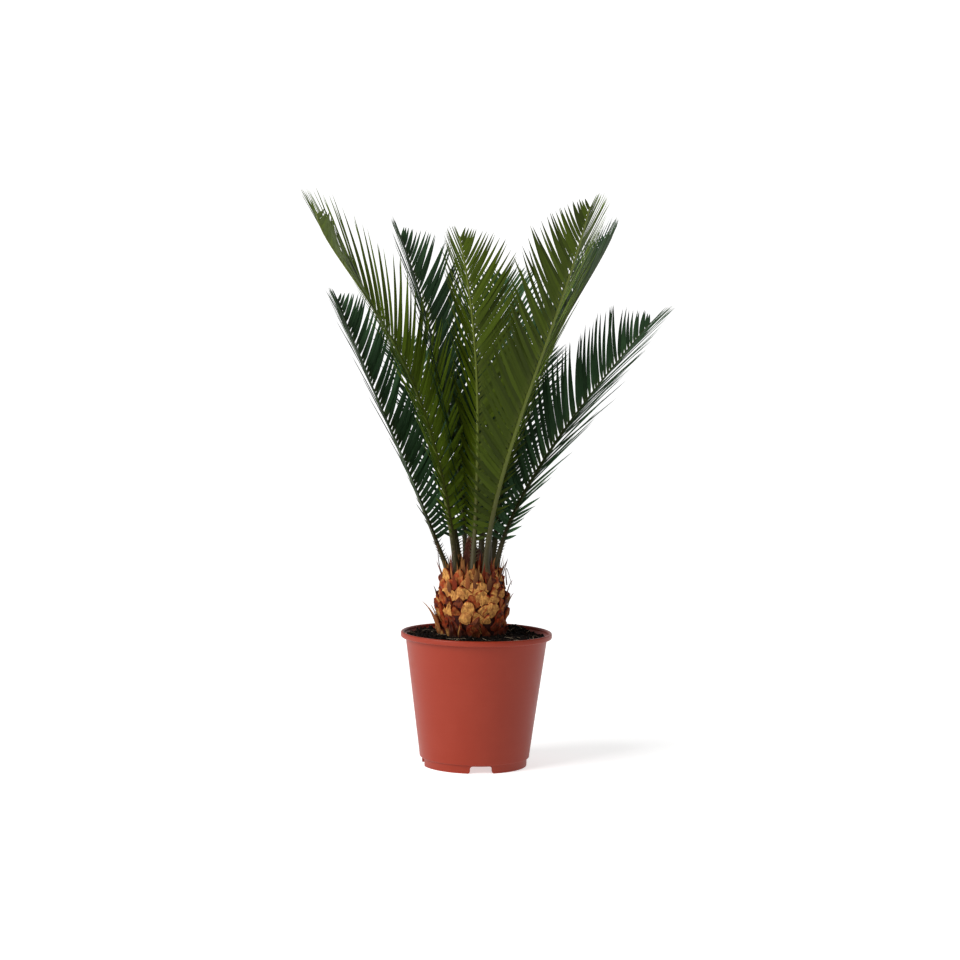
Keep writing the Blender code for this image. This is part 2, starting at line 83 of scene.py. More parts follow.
CAUDEX_TOP = 0.2165
CAUDEX_CENTRE = np.array([-0.006, 0.0, 0.0])
BUD_PLACE = (-0.008, -0.001)
CLEARANCE = 0.0003
RIB_BASE_RADIUS = 0.0041
RIB_POINTS = 16
BARE_SHARE = 0.10
GOLDEN_ANGLE = 2.399963
DOWN = np.array([0.0, 0.0, -1.0])
OLIVE = "frond_light"
PINE = "frond_dark"
KEY_PLACE, KEY_SIZE = (-2.1, -1.5, 1.7), 1.9
FILL_PLACE, FILL_SIZE = (1.9, -1.2, 0.9), 1.4
LIGHT_AIM = Vector((0, 0, 0.30))


class Frond(NamedTuple):
    """One frond: metres and degrees. Lean is from upright, azimuth is from +X towards +Y."""

    name: str
    seat: tuple
    azimuth: float
    sweep: float
    sweep_bend: float
    lean_base: float
    lean_tip: float
    bend: float
    length: float
    lift: float
    roll: float
    twist: float
    leaflet: float
    slot: str
    girth: float = 1.0


FRONDS = (
    Frond(
        "frond_front_left", (-0.022, -0.013), -186, 96, 3.1, 8.8, 59.2, 1.67,
        0.460, 20, 18, 20, 0.115, OLIVE, 1.16,
    ),
    Frond(
        "frond_front_centre", (-0.006, -0.024), -113, -3, 1, -7, 28.4, 1.52,
        0.382, 24, 12, 2, 0.098, OLIVE, 0.84,
    ),
    Frond(
        "frond_front_right", (0.009, -0.021), -37, -38, 1.3, -11, 38.8, 0.37,
        0.450, 22, -4, -24, 0.111, OLIVE, 1.14,
    ),
    Frond(
        "frond_right", (0.021, -0.002), 19, 24, 1.2, -22, 50.6, 0.25,
        0.360, 24, -26, 34, 0.112, PINE, 0.92,
    ),
    Frond(
        "frond_left", (-0.033, 0.003), 153, -36, 2.3, 25.6, 39.5, 1.92,
        0.352, 34, 16, -32, 0.090, PINE, 0.82,
    ),
    Frond(
        "frond_back_left", (-0.013, 0.018), 133, -8, 1.1, 1, 34.2, 0.78,
        0.410, 27, -8, -14, 0.112, PINE,
    ),
    Frond(
        "frond_back_right", (0.012, 0.017), 21, 49, 2.1, -2.4, 54, 0.89,
        0.452, 30, 16, 18, 0.103, PINE,
    ),
    Frond(
        "frond_back_centre", (0.003, 0.027), 78, 8, 1.1, 7.8, 48.5, 1.07,
        0.388, 28, 4, -3, 0.098, PINE,
    ),
    Frond(
        "frond_low_back_left", (-0.020, 0.026), 112, -8, 1, 22, 66, 1.1,
        0.360, 24, 0, 0, 0.090, PINE,
    ),
    Frond(
        "frond_low_back_right", (0.015, 0.024), 74, 8, 1, 24, 68, 1.1,
        0.350, 24, 0, 0, 0.090, PINE,
    ),
)


def length_property(name, description, default):
    """A size in metres that a user may change."""
    limits = {"min": 0, "unit": "LENGTH", "precision": 4}
    return FloatProperty(name=name, description=description, default=default, **limits)


def amount_property(name, description, default):
    """A setting that is a plain number."""
    return FloatProperty(name=name, description=description, default=default, min=0)


def angle_property(name, description, degrees):
    """A setting that is an angle, given in degrees."""
    return FloatProperty(name=name, description=description, default=radians(degrees), subtype="ANGLE")


def count_property(name, description, default):
    """A setting that is a whole number."""
    return IntProperty(name=name, description=description, default=default, min=1)


def colour_property(name, description, default):
    """A plain colour that a user may change."""
    return FloatVectorProperty(
        name=name, description=description, default=default, subtype="COLOR", size=3, min=0, max=1
    )


class PotSettings(bpy.types.PropertyGroup):
    """Sizes and colours of the pot."""

    height: length_property("Height", "From the standing surface to the top of the lip", POT_HIGH[2])
    rim_radius: length_property("Rim radius", "Outer radius of the rolled lip", POT_HIGH[0])
    rim_inner_radius: length_property("Mouth radius", "Inner radius of the lip", 0.0812)
    lip_height: length_property("Lip height", "How far the rolled lip reaches down", 0.0062)
    wall_top_radius: length_property("Wall radius, top", "Outer radius of the wall under the lip", 0.0795)
    wall_foot_radius: length_property("Wall radius, foot", "Outer radius of the wall above the foot", 0.0618)
    wall: length_property("Wall thickness", "Thickness of the wall", 0.0016)
    foot_radius: length_property("Foot radius", "Outer radius of the foot ring", 0.0592)
    foot_height: length_property("Foot height", "Height of the step where the wall meets the foot", 0.0095)
    notch_width: length_property("Notch width", "Width of a notch in the foot", 0.0245)
    notch_height: length_property("Notch height", "Height of a notch in the foot", 0.0082)
    notch_corner: length_property("Notch corner", "Radius of a notch's corners", 0.0030)
    steps: count_property("Steps", "Faces round the pot", 160)
    colour: colour_property("Plastic", "Colour of the plastic", (0.240, 0.0232, 0.0076))
    worn_colour: colour_property("Worn plastic", "Colour of paler, dusty patches", (0.270, 0.0350, 0.0160))


class SoilSettings(bpy.types.PropertyGroup):
    """Sizes and colours of the potting soil."""

    wall_level: length_property("Level at the wall", "Height of the soil at the pot's wall", 0.1452)
    stem_level: length_property("Level at the stem", "Height of the soil round the caudex", 0.1496)
    lump_height: length_property("Lump height", "How far the surface rises and falls", 0.0022)
    crumb_count: count_property("Crumbs", "Number of loose crumbs", 1500)
    crumb_size: length_property("Crumb size", "Radius of a middling crumb", 0.0011)
    fibre_count: count_property("Fibres", "Number of pale fibres", 46)
    colour: colour_property("Soil", "Colour of the damp soil", (0.0036, 0.0021, 0.0016))
    crumb_colour: colour_property("Crumbs", "Colour of the drier crumbs", (0.0105, 0.0060, 0.0040))
    fibre_colour: colour_property("Fibres", "Colour of the fibres", (0.26, 0.19, 0.12))


class CaudexSettings(bpy.types.PropertyGroup):
    """Sizes and colours of the caudex and its dry scale leaves."""

    foot_radius: length_property("Foot radius", "Radius of the core at the soil", 0.0365)
    belly_radius: length_property("Belly radius", "Largest radius of the core", 0.0382)
    top_radius: length_property("Top radius", "Radius of the core at its shoulder", 0.0315)
    rows: count_property("Rows", "Rows of old leaf bases", 8)
    bases_a_row: count_property("Bases a row", "Old leaf bases in a row", 17)
    base_width: length_property("Base width", "Width of a leaf base", 0.0152)
    base_height: length_property("Base height", "Height of a leaf base", 0.0158)
    base_thickness: length_property("Base thickness", "How far a leaf base stands out", 0.0036)
    scale_leaf_count: count_property("Scale leaves", "Dry scale leaves in the crown", 120)
    scale_leaf_length: length_property("Scale leaf length", "Length of a long dry scale leaf", 0.030)
    tan: colour_property("Tan", "Colour of a leaf base's face", (0.640, 0.305, 0.080))
    rust: colour_property("Rust", "Colour of the brown patches on a base", (0.175, 0.048, 0.014))
    orange: colour_property("Orange", "Colour of the brighter edges", (0.235, 0.026, 0.005))
    # maroon is partly the caudex's own dark red-brown and partly painted shade at the bases' edges and in the
    # gaps between them.
    maroon: colour_property("Maroon", "Colour of the dark edges and gaps", (0.030, 0.0060, 0.0040))
    dry_brown: colour_property("Dry brown", "Colour of the dry scale leaves", (0.085, 0.024, 0.009))


class FrondSettings(bpy.types.PropertyGroup):
    """Sizes and colours of the fronds."""

    spacing: length_property("Leaflet spacing", "Distance between leaflets along the rib", 0.0060)
    width: length_property("Leaflet width", "Width of a middle leaflet", 0.0050)
    thickness: length_property("Leaflet thickness", "Half the depth of a leaflet's section", 0.0006)
    tip_radius: length_property("Rib tip radius", "Radius of the rib at its end", 0.0009)
    rib_gap: length_property("Gap to ribs", "How far leaflets stay from other ribs", 0.0040)
    upper_green: colour_property("Upper green", "Colour of a leaflet's upper side", (0.030, 0.068, 0.028))
    pine_under: colour_property("Under green", "Colour of a dark leaflet's underside", (0.030, 0.058, 0.016))
    # The olive upper colour is partly the front leaflets' own olive and partly painted light: it is set
    # bright so that front leaflets turned away from the key light still look lit.
    olive: colour_property("Olive, upper", "Colour of a front leaflet's upper side", (0.105, 0.160, 0.012))
    under_green: colour_property("Olive, under", "Colour of a front leaflet below", (0.034, 0.052, 0.0012))
    rib_light: colour_property("Rib, light", "Colour of the front fronds' ribs", (0.085, 0.108, 0.010))
    petiole: colour_property("Petiole", "Colour of the petioles", (0.025, 0.026, 0.006))
    rib_dark: colour_property("Rib, dark", "Colour of the back fronds' ribs", (0.036, 0.048, 0.012))


class StageSettings(bpy.types.PropertyGroup):
    """The camera, the floor and the studio light."""

    camera_distance: length_property("Camera distance", "From the pot's axis to the camera", 2.5)
    camera_height: length_property("Camera height", "Height of the camera", 0.480)
    tilt: angle_property("Tilt", "How far the camera looks down", 3.63)
    roll: angle_property("Roll", "Turn of the picture", 1.02)
    lens: amount_property("Lens", "Focal length in millimetres", 83.85)
    key_power: amount_property("Key light", "Power of the key light in watts", 104)
    fill_power: amount_property("Fill light", "Power of the fill light in watts", 2)
    sky_strength: amount_property("Surround", "Strength of the white surround", 0.31)
    floor_glow: amount_property("Floor glow", "How bright the floor is by itself", 0.70)
    floor_colour: colour_property("Floor", "Colour of the floor", (0.85, 0.85, 0.85))


class Wire:
    """A socket of a material that can be used in plain arithmetic, which adds its Math nodes."""

    def __init__(self, finish, socket):
        self.finish = finish
        self.socket = socket

    def sum_of(self, operation, first, second):
        return self.finish.node("ShaderNodeMath", {"operation": operation}, {0: first, 1: second})[0]

    def __add__(self, other):
        return self.sum_of("ADD", self, other)

    __radd__ = __add__

    def __sub__(self, other):
        return self.sum_of("SUBTRACT", self, other)

    def __rsub__(self, other):
        return self.sum_of("SUBTRACT", other, self)

    def __mul__(self, other):
        return self.sum_of("MULTIPLY", self, other)

    __rmul__ = __mul__

    def __pow__(self, other):
        return self.sum_of("POWER", self, other)

    def clipped(self):
        """The value kept between 0 and 1."""
        return self.finish.node("ShaderNodeClamp", {}, {"Value": self})[0]


class Made:
    """A node that has been added: its outputs are read by name or number, as wires."""

    def __init__(self, finish, node):
        self.finish = finish
        self.node = node

    def __getitem__(self, key):
        return Wire(self.finish, self.node.outputs[key])


class Finish:
    """A material under construction."""

    def __init__(self, name):
        self.material = bpy.data.materials.new(name)
        self.material.use_nodes = True
        self.tree = self.material.node_tree
        self.surface = self.tree.nodes["Principled BSDF"]

    def put(self, socket, value):
        """Set a socket to a number or colour, or link a wire to it."""
        if isinstance(value, Wire):
            self.tree.links.new(value.socket, socket)
        elif socket.type == "RGBA":
            socket.default_value = (*value[:3], 1.0)
        else:
            socket.default_value = value

    def node(self, kind, settings, sockets):
        """Add a node of a type: its settings first, then the values or links of its sockets."""
        made = self.tree.nodes.new(kind)
        for key, value in settings.items():
            if key == "stops":
                while len(made.color_ramp.elements) < len(value):
                    made.color_ramp.elements.new(1.0)
                for element, (place, level) in zip(made.color_ramp.elements, value):
                    element.position = place
                    element.color = (level, level, level, 1.0)
            else:
                setattr(made, key, value)
        for key, value in sockets.items():
            self.put(made.inputs[key], value)
        return Made(self, made)

    def place(self):
        """Object coordinates."""
        return self.node("ShaderNodeTexCoord", {}, {})["Object"]

    def stretched(self, vector, scale):
        """A vector with each axis scaled."""
        return self.node("ShaderNodeMapping", {}, {"Vector": vector, "Scale": scale})[0]

    def noise(self, vector, scale, detail=4.0, roughness=0.55):
        """Soft noise from 0 to 1."""
        sockets = {"Vector": vector, "Scale": scale, "Detail": detail, "Roughness": roughness}
        return self.node("ShaderNodeTexNoise", {}, sockets)["Fac"]

    def cells(self, vector, scale):
        """Distance to the nearest of many scattered points."""
        return self.node("ShaderNodeTexVoronoi", {}, {"Vector": vector, "Scale": scale})["Distance"]

    def ramp(self, factor, stops):
        """A value bent through stops of place and level."""
        return self.node("ShaderNodeValToRGB", {"stops": stops}, {"Fac": factor})["Color"]

    def mix(self, factor, low, high):
        """A colour between two colours."""
        return self.node("ShaderNodeMix", {"data_type": "RGBA"}, {0: factor, 6: low, 7: high})[2]

    def part(self, vector, axis):
        """One part of a vector: 0, 1 or 2."""
        return self.node("ShaderNodeSeparateXYZ", {}, {0: vector})[axis]

    def attribute(self, name):
        """A number stored on the mesh."""
        return self.node("ShaderNodeAttribute", {"attribute_name": name}, {})["Fac"]

    def bump(self, height, strength, distance):
        """A normal that follows a height."""
        sockets = {"Strength": strength, "Distance": distance, "Height": height}
        return self.node("ShaderNodeBump", {}, sockets)[0]

    def done(self, **sockets):
        """Set the surface's sockets by name and return the material."""
        for key, value in sockets.items():
            self.put(self.surface.inputs[key.replace("_", " ").title().replace("Ior", "IOR")], value)
        return self.material


def shade(colour, amount):
    """A colour made brighter or darker by a factor."""
    return tuple(min(1.0, part * amount) for part in colour)


def ring_quads(rings, around):
    """Quads between neighbouring rings of points that run round a shape."""
    ring = np.arange(rings - 1)[:, None] * around
    place = np.arange(around)[None]
    after = (place + 1) % around
    corners = [ring + place, ring + after, ring + around + after, ring + around + place]
    return np.stack(corners, -1).reshape(-1, 4)


def repeated(faces, count, stride):
    """The faces of one shape repeated for many shapes whose points follow each other."""
    return (faces[None] + np.arange(count)[:, None, None] * stride).reshape(-1, faces.shape[1])


def surface_object(name, vertices, face_groups, corner_uv=None, numbers=None, material_index=None):
    """A mesh object from arrays: groups of faces with equal corners, UVs by vertex and numbers by vertex."""
    vertices = np.asarray(vertices, np.float32).reshape(-1, 3)
    loops = np.concatenate([group.ravel() for group in face_groups])
    totals = np.concatenate([np.full(len(group), group.shape[1]) for group in face_groups])
    starts = np.concatenate([[0], np.cumsum(totals)[:-1]])
    mesh = bpy.data.meshes.new(name)
    mesh.vertices.add(len(vertices))
    mesh.vertices.foreach_set("co", vertices.ravel())
    mesh.loops.add(len(loops))
    mesh.loops.foreach_set("vertex_index", loops.astype(np.int32))
    mesh.polygons.add(len(totals))
    mesh.polygons.foreach_set("loop_start", starts.astype(np.int32))
    if material_index is not None:
        mesh.polygons.foreach_set("material_index", material_index.astype(np.int32))
    mesh.update(calc_edges=True)
    if corner_uv is not None:
        layer = mesh.uv_layers.new(name="blade")
        layer.uv.foreach_set("vector", np.asarray(corner_uv, np.float32)[loops].ravel())
    for key, values in (numbers or {}).items():
        stored = mesh.attributes.new(key, "FLOAT", "POINT")
        stored.data.foreach_set("value", np.asarray(values, np.float32).ravel())
    work = bmesh.new()
    work.from_mesh(mesh)
    bmesh.ops.recalc_face_normals(work, faces=work.faces)
    work.to_mesh(mesh)
    work.free()
    made = bpy.data.objects.new(name, mesh)
    bpy.context.scene.collection.objects.link(made)
    return made


def dressed(thing, materials, nodes, sharp=40):
    """Give a piece its materials and shading, and tie it to the body and the nodes it replaces."""
    for material in materials:
        thing.data.materials.append(material)
    thing.data.shade_smooth()
    thing.data.set_sharp_from_angle(angle=radians(sharp))
    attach(thing, "root")
    if nodes:
        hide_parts(*nodes)
    return thing


def lattice_noise(points, cell, seed):
    """Smooth noise from -1 to 1: random values on a cubic lattice, blended between each cell's corners."""
    table = np.random.default_rng(seed).uniform(-1, 1, 4096)
    primes = np.array([73856093, 19349663, 83492791])
    scaled = points / cell
    low = np.floor(scaled).astype(np.int64)
    part = scaled - low
    part = part * part * (3 - 2 * part)
    total = np.zeros(points.shape[:-1])
    for corner in range(8):
        offset = np.array([corner & 1, corner >> 1 & 1, corner >> 2 & 1])
        key = np.bitwise_xor.reduce((low + offset) * primes, axis=-1)
        weight = np.prod(np.where(offset, part, 1 - part), axis=-1)
        total += table[key & 4095] * weight
    return total


def unit(vectors):
    """Vectors made one long."""
    return vectors / np.maximum(np.linalg.norm(vectors, axis=-1, keepdims=True), 1e-9)


def arc(centre, radius, start, end, count):
    """Points (radius, height) on an arc round a centre, its angles in degrees."""
    angles = np.radians(np.linspace(start, end, count))
    return [(centre[0] + radius * cos(a), centre[1] + radius * sin(a)) for a in angles]


def turned_object(name, profile, steps):
    """A profile of (radius, height) from axis to axis, turned about Z: x = r cos a and y = r sin a."""
    profile = np.array(profile)
    angle = np.linspace(0, 2 * pi, steps, endpoint=False)
    inner = profile[1:-1]
    radius, height = inner[:, :1], np.repeat(inner[:, 1:], steps, 1)
    points = np.stack([radius * np.cos(angle), radius * np.sin(angle), height], -1).reshape(-1, 3)
    poles = np.array([[0, 0, profile[0, 1]], [0, 0, profile[-1, 1]]])
    place = np.arange(steps)
    after = (place + 1) % steps
    first = np.stack([np.full(steps, len(points)), place, after], -1)
    last_ring = (len(inner) - 1) * steps
    last = np.stack([np.full(steps, len(points) + 1), last_ring + after, last_ring + place], -1)
    return surface_object(name, np.vstack([points, poles]), [ring_quads(len(inner), steps), first, last])


def tubes(lines, radii, sides):
    """Closed tubes along many lines: rings of points at angles round each line, and a point at each end.

    Lines are (count, stations, 3) and radii (count, stations). Returns the points and the groups of faces.
    """
    count, stations, _ = lines.shape
    way = unit(np.gradient(lines, axis=1))
    across = unit(np.cross(way, np.array([0.31, 0.22, 0.92])))
    other = np.cross(way, across)
    angle = np.linspace(0, 2 * pi, sides, endpoint=False)
    round_way = np.cos(angle)[:, None] * across[:, :, None] + np.sin(angle)[:, None] * other[:, :, None]
    rings = lines[:, :, None] + radii[:, :, None, None] * round_way
    points = np.concatenate([rings.reshape(count, -1, 3), lines[:, :1], lines[:, -1:]], 1)
    stride = stations * sides + 2
    place = np.arange(sides)
    after = (place + 1) % sides
    last = (stations - 1) * sides
    caps = np.concatenate([
        np.stack([np.full(sides, stride - 2), after, place], -1),
        np.stack([np.full(sides, stride - 1), last + place, last + after], -1),
    ])
    return points.reshape(-1, 3), [
        repeated(ring_quads(stations, sides), count, stride),
        repeated(caps, count, stride),
    ]


def blades(lines, across, above, half_width, depth, section):
    """Closed pointed blades along many lines.

    At each station but the last, a section of (a, b) points stands at line + a * half width * across +
    b * depth * above. The last station is the tip. Returns points (count, stations * sides + 1, 3) and faces.
    """
    count, stations, _ = lines.shape
    section = np.array(section)
    sides = len(section)
    rings = (
        lines[:, :-1, None]
        + (half_width[:, :-1, None] * section[:, 0])[..., None] * across[:, :-1, None]
        + (depth[:, :-1, None] * section[:, 1])[..., None] * above[:, :-1, None]
    )
    points = np.concatenate([rings.reshape(count, -1, 3), lines[:, -1:]], 1)
    stride = (stations - 1) * sides + 1
    place = np.arange(sides)
    last = (stations - 2) * sides
    tip = np.stack([last + place, last + (place + 1) % sides, np.full(sides, stride - 1)], -1)
    quads = ring_quads(stations - 1, sides)
    return points, [
        repeated(quads, count, stride),
        repeated(tip, count, stride),
        repeated(place[None, ::-1], count, stride),
    ]


def pot_plastic(settings):
    """Satin moulded plastic: paler dusty patches, faint horizontal drag marks and a fine grain."""
    finish = Finish("moulded_plastic")
    place = finish.place()
    patches = finish.ramp(finish.noise(place, 22.0, 5.0), ((0.42, 0.0), (0.74, 1.0)))
    drag = finish.noise(finish.stretched(place, (6.0, 6.0, 160.0)), 3.0, 3.0)
    grain = finish.noise(place, 900.0, 2.0)
    colour = finish.mix(patches * 0.45, settings.colour, settings.worn_colour)
    colour = finish.mix(drag * 0.16, colour, shade(settings.colour, 0.72))
    height = grain * 0.5 + drag * 0.5
    return finish.done(
        base_color=colour,
        roughness=patches * 0.10 + drag * 0.06 + 0.38,
        specular_ior_level=0.24,
        normal=finish.bump(height, 0.10, 0.0004),
    )


def pot_profile(settings):
    """The pot's section from the floor's middle up the inside, over the lip and down under the foot."""
    floor_under = 0.0082
    floor_top = floor_under + 0.0018
    fillet = 0.0016
    lip_foot = settings.height - settings.lip_height
    roll = (settings.rim_radius - settings.rim_inner_radius) / 2
    top = (settings.rim_radius - roll, settings.height - roll)
    small = 0.0008
    profile = [(0, 0.0024), (0.0080, 0.0024), (0.0092, floor_top)]
    profile += [(settings.wall_foot_radius - settings.wall - fillet, floor_top)]
    profile += [(settings.wall_foot_radius - settings.wall, floor_top + fillet)]
    profile += [(settings.wall_top_radius - settings.wall, lip_foot)]
    profile += [(settings.rim_inner_radius, lip_foot + 0.003)]
    profile += arc(top, roll, 180, 90, 7)
    profile += arc((settings.rim_radius - fillet, settings.height - fillet), fillet, 82, 0, 6)
    profile += arc((settings.rim_radius - 0.0014, lip_foot + 0.0014), 0.0014, 0, -80, 5)
    profile += [(settings.wall_top_radius + small, lip_foot + 0.0004)]
    profile += arc((settings.wall_top_radius + small, lip_foot - small), small, 100, 176, 4)
    shoulder = (settings.wall_foot_radius - 0.0010, settings.foot_height + 0.0011)
    profile += [(settings.wall_foot_radius + 0.0004, settings.foot_height + 0.0045)]
    profile += arc(shoulder, 0.0011, 0, -88, 5)
    profile += [(settings.foot_radius + 0.0003, settings.foot_height - 0.0002)]
    profile += [(settings.foot_radius, settings.foot_height - 0.0008)]
    profile += arc((settings.foot_radius - small, small), small, 0, -90, 4)
    ring_inside, dimple = 0.0560, 0.0110
    profile += [(ring_inside, 0), (ring_inside - 0.0004, 0.0004), (ring_inside - 0.0012, floor_under)]
    profile += [(dimple, floor_under), (dimple - 0.0012, 0.0006), (0, 0.0006)]
    return profile


def notch_cutter(settings, angle):
    """A block through the foot ring: round at its upper corners, and flared in round ones below."""
    half = settings.notch_width / 2
    corner = settings.notch_corner
    side = [(-half - corner - 0.004, -0.004), (-half - corner, 0.0)]
    side += arc((-half - corner, corner), corner, -90, 0, 6)
    side += arc((-half + corner, settings.notch_height - corner), corner, 180, 90, 6)
    outline = np.array(side + [(-x, z) for x, z in side[::-1]])
    near, far = 0.0530, 0.0680
    rings = [np.stack([np.full(len(outline), r), outline[:, 0], outline[:, 1]], -1) for r in (near, far)]
    points = np.vstack(rings) @ np.array(Matrix.Rotation(angle, 3, "Z")).T
    place = np.arange(len(outline))
    caps = np.stack([place, place + len(outline)])
    return surface_object("notch_cutter", points, [ring_quads(2, len(outline)), caps])


class PALM_OT_pot(bpy.types.Operator):
    """Build the moulded pot with its rolled lip, stepped foot, notches and drain holes"""

    bl_idname = "palm.pot"
    bl_label = "Pot"

    def execute(self, context):
        settings = context.scene.palm_pot
        pot = turned_object("moulded_pot", pot_profile(settings), settings.steps)
        cutters = bpy.data.collections.new("pot_cutters")
        first = radians(-82.4)
        drain_radius, drain_ring = 0.0045, 0.034
        for i in range(4):
            cutter = notch_cutter(settings, first + i * pi / 2)
            context.scene.collection.objects.unlink(cutter)
            cutters.objects.link(cutter)
        for i in range(6):
            work = bmesh.new()
            size = {"radius1": drain_radius, "radius2": drain_radius, "depth": 0.03}
            bmesh.ops.create_cone(work, cap_ends=True, segments=24, **size)
            spot = (drain_ring * cos(i * pi / 3), drain_ring * sin(i * pi / 3), 0.0)
            bmesh.ops.translate(work, verts=work.verts, vec=spot)
            mesh = bpy.data.meshes.new("drain")
            work.to_mesh(mesh)
            work.free()
            cutters.objects.link(bpy.data.objects.new("drain", mesh))
        cut = pot.modifiers.new("Cut", "BOOLEAN")
        cut.operand_type = "COLLECTION"
        cut.collection = cutters
        cut.solver = "EXACT"
        context.view_layer.update()
        graph = context.evaluated_depsgraph_get()
        mesh = bpy.data.meshes.new_from_object(pot.evaluated_get(graph), depsgraph=graph)
        pot.modifiers.clear()
        pot.data = mesh
        for cutter in list(cutters.objects):
            bpy.data.objects.remove(cutter, do_unlink=True)
        bpy.data.collections.remove(cutters)
        dressed(pot, [pot_plastic(settings)], ["pot"], 32)
        return {"FINISHED"}


def soil_finish(name, colour, pale):
    """Damp crumbly soil: dark, with paler specks and a rough relief."""
    finish = Finish(name)
    place = finish.place()
    coarse = finish.noise(place, 260.0, 6.0, 0.7)
    specks = finish.ramp(finish.cells(place, 420.0), ((0.0, 1.0), (0.16, 0.0)))
    colour = finish.mix(coarse, shade(colour, 0.5), shade(colour, 1.6))
    colour = finish.mix(specks * 0.30, colour, pale)
    return finish.done(
        base_color=colour,
        roughness=coarse * 0.15 + 0.82,
        specular_ior_level=0.08,
        normal=finish.bump(coarse, 0.8, 0.0012),
    )


def inner_wall(height):
    """The radius that the soil reaches at a height: 0.2 mm into the wall and the slope inside the lip."""
    heights = (0.0116, 0.1443, 0.1473)
    radii = (0.0604, 0.0781, 0.0814)
    return np.interp(height, heights, radii)


def soil_height(settings, place):
    """Height of the soil at (x, y): a mound falling from stem to wall, with lumps and a heap behind."""
    heap_place, heap_spread, heap_height = (0.046, 0.050), 0.014, 0.0060
    radius = np.hypot(place[..., 0] - CAUDEX_CENTRE[0], place[..., 1])
    share = np.clip((radius - 0.036) / 0.043, 0, 1)
    level = settings.stem_level + (settings.wall_level - settings.stem_level) * share**1.3
    flat = np.concatenate([place, np.zeros_like(place[..., :1])], -1)
    lumps = lattice_noise(flat, 0.013, 5) + 0.55 * lattice_noise(flat, 0.006, 6)
    lumps = lumps + 0.3 * lattice_noise(flat, 0.003, 7)
    heap = np.exp(-(((place - heap_place) / heap_spread) ** 2).sum(-1))
    return level + settings.lump_height * (lumps * 0.6 - 0.3) + heap_height * heap


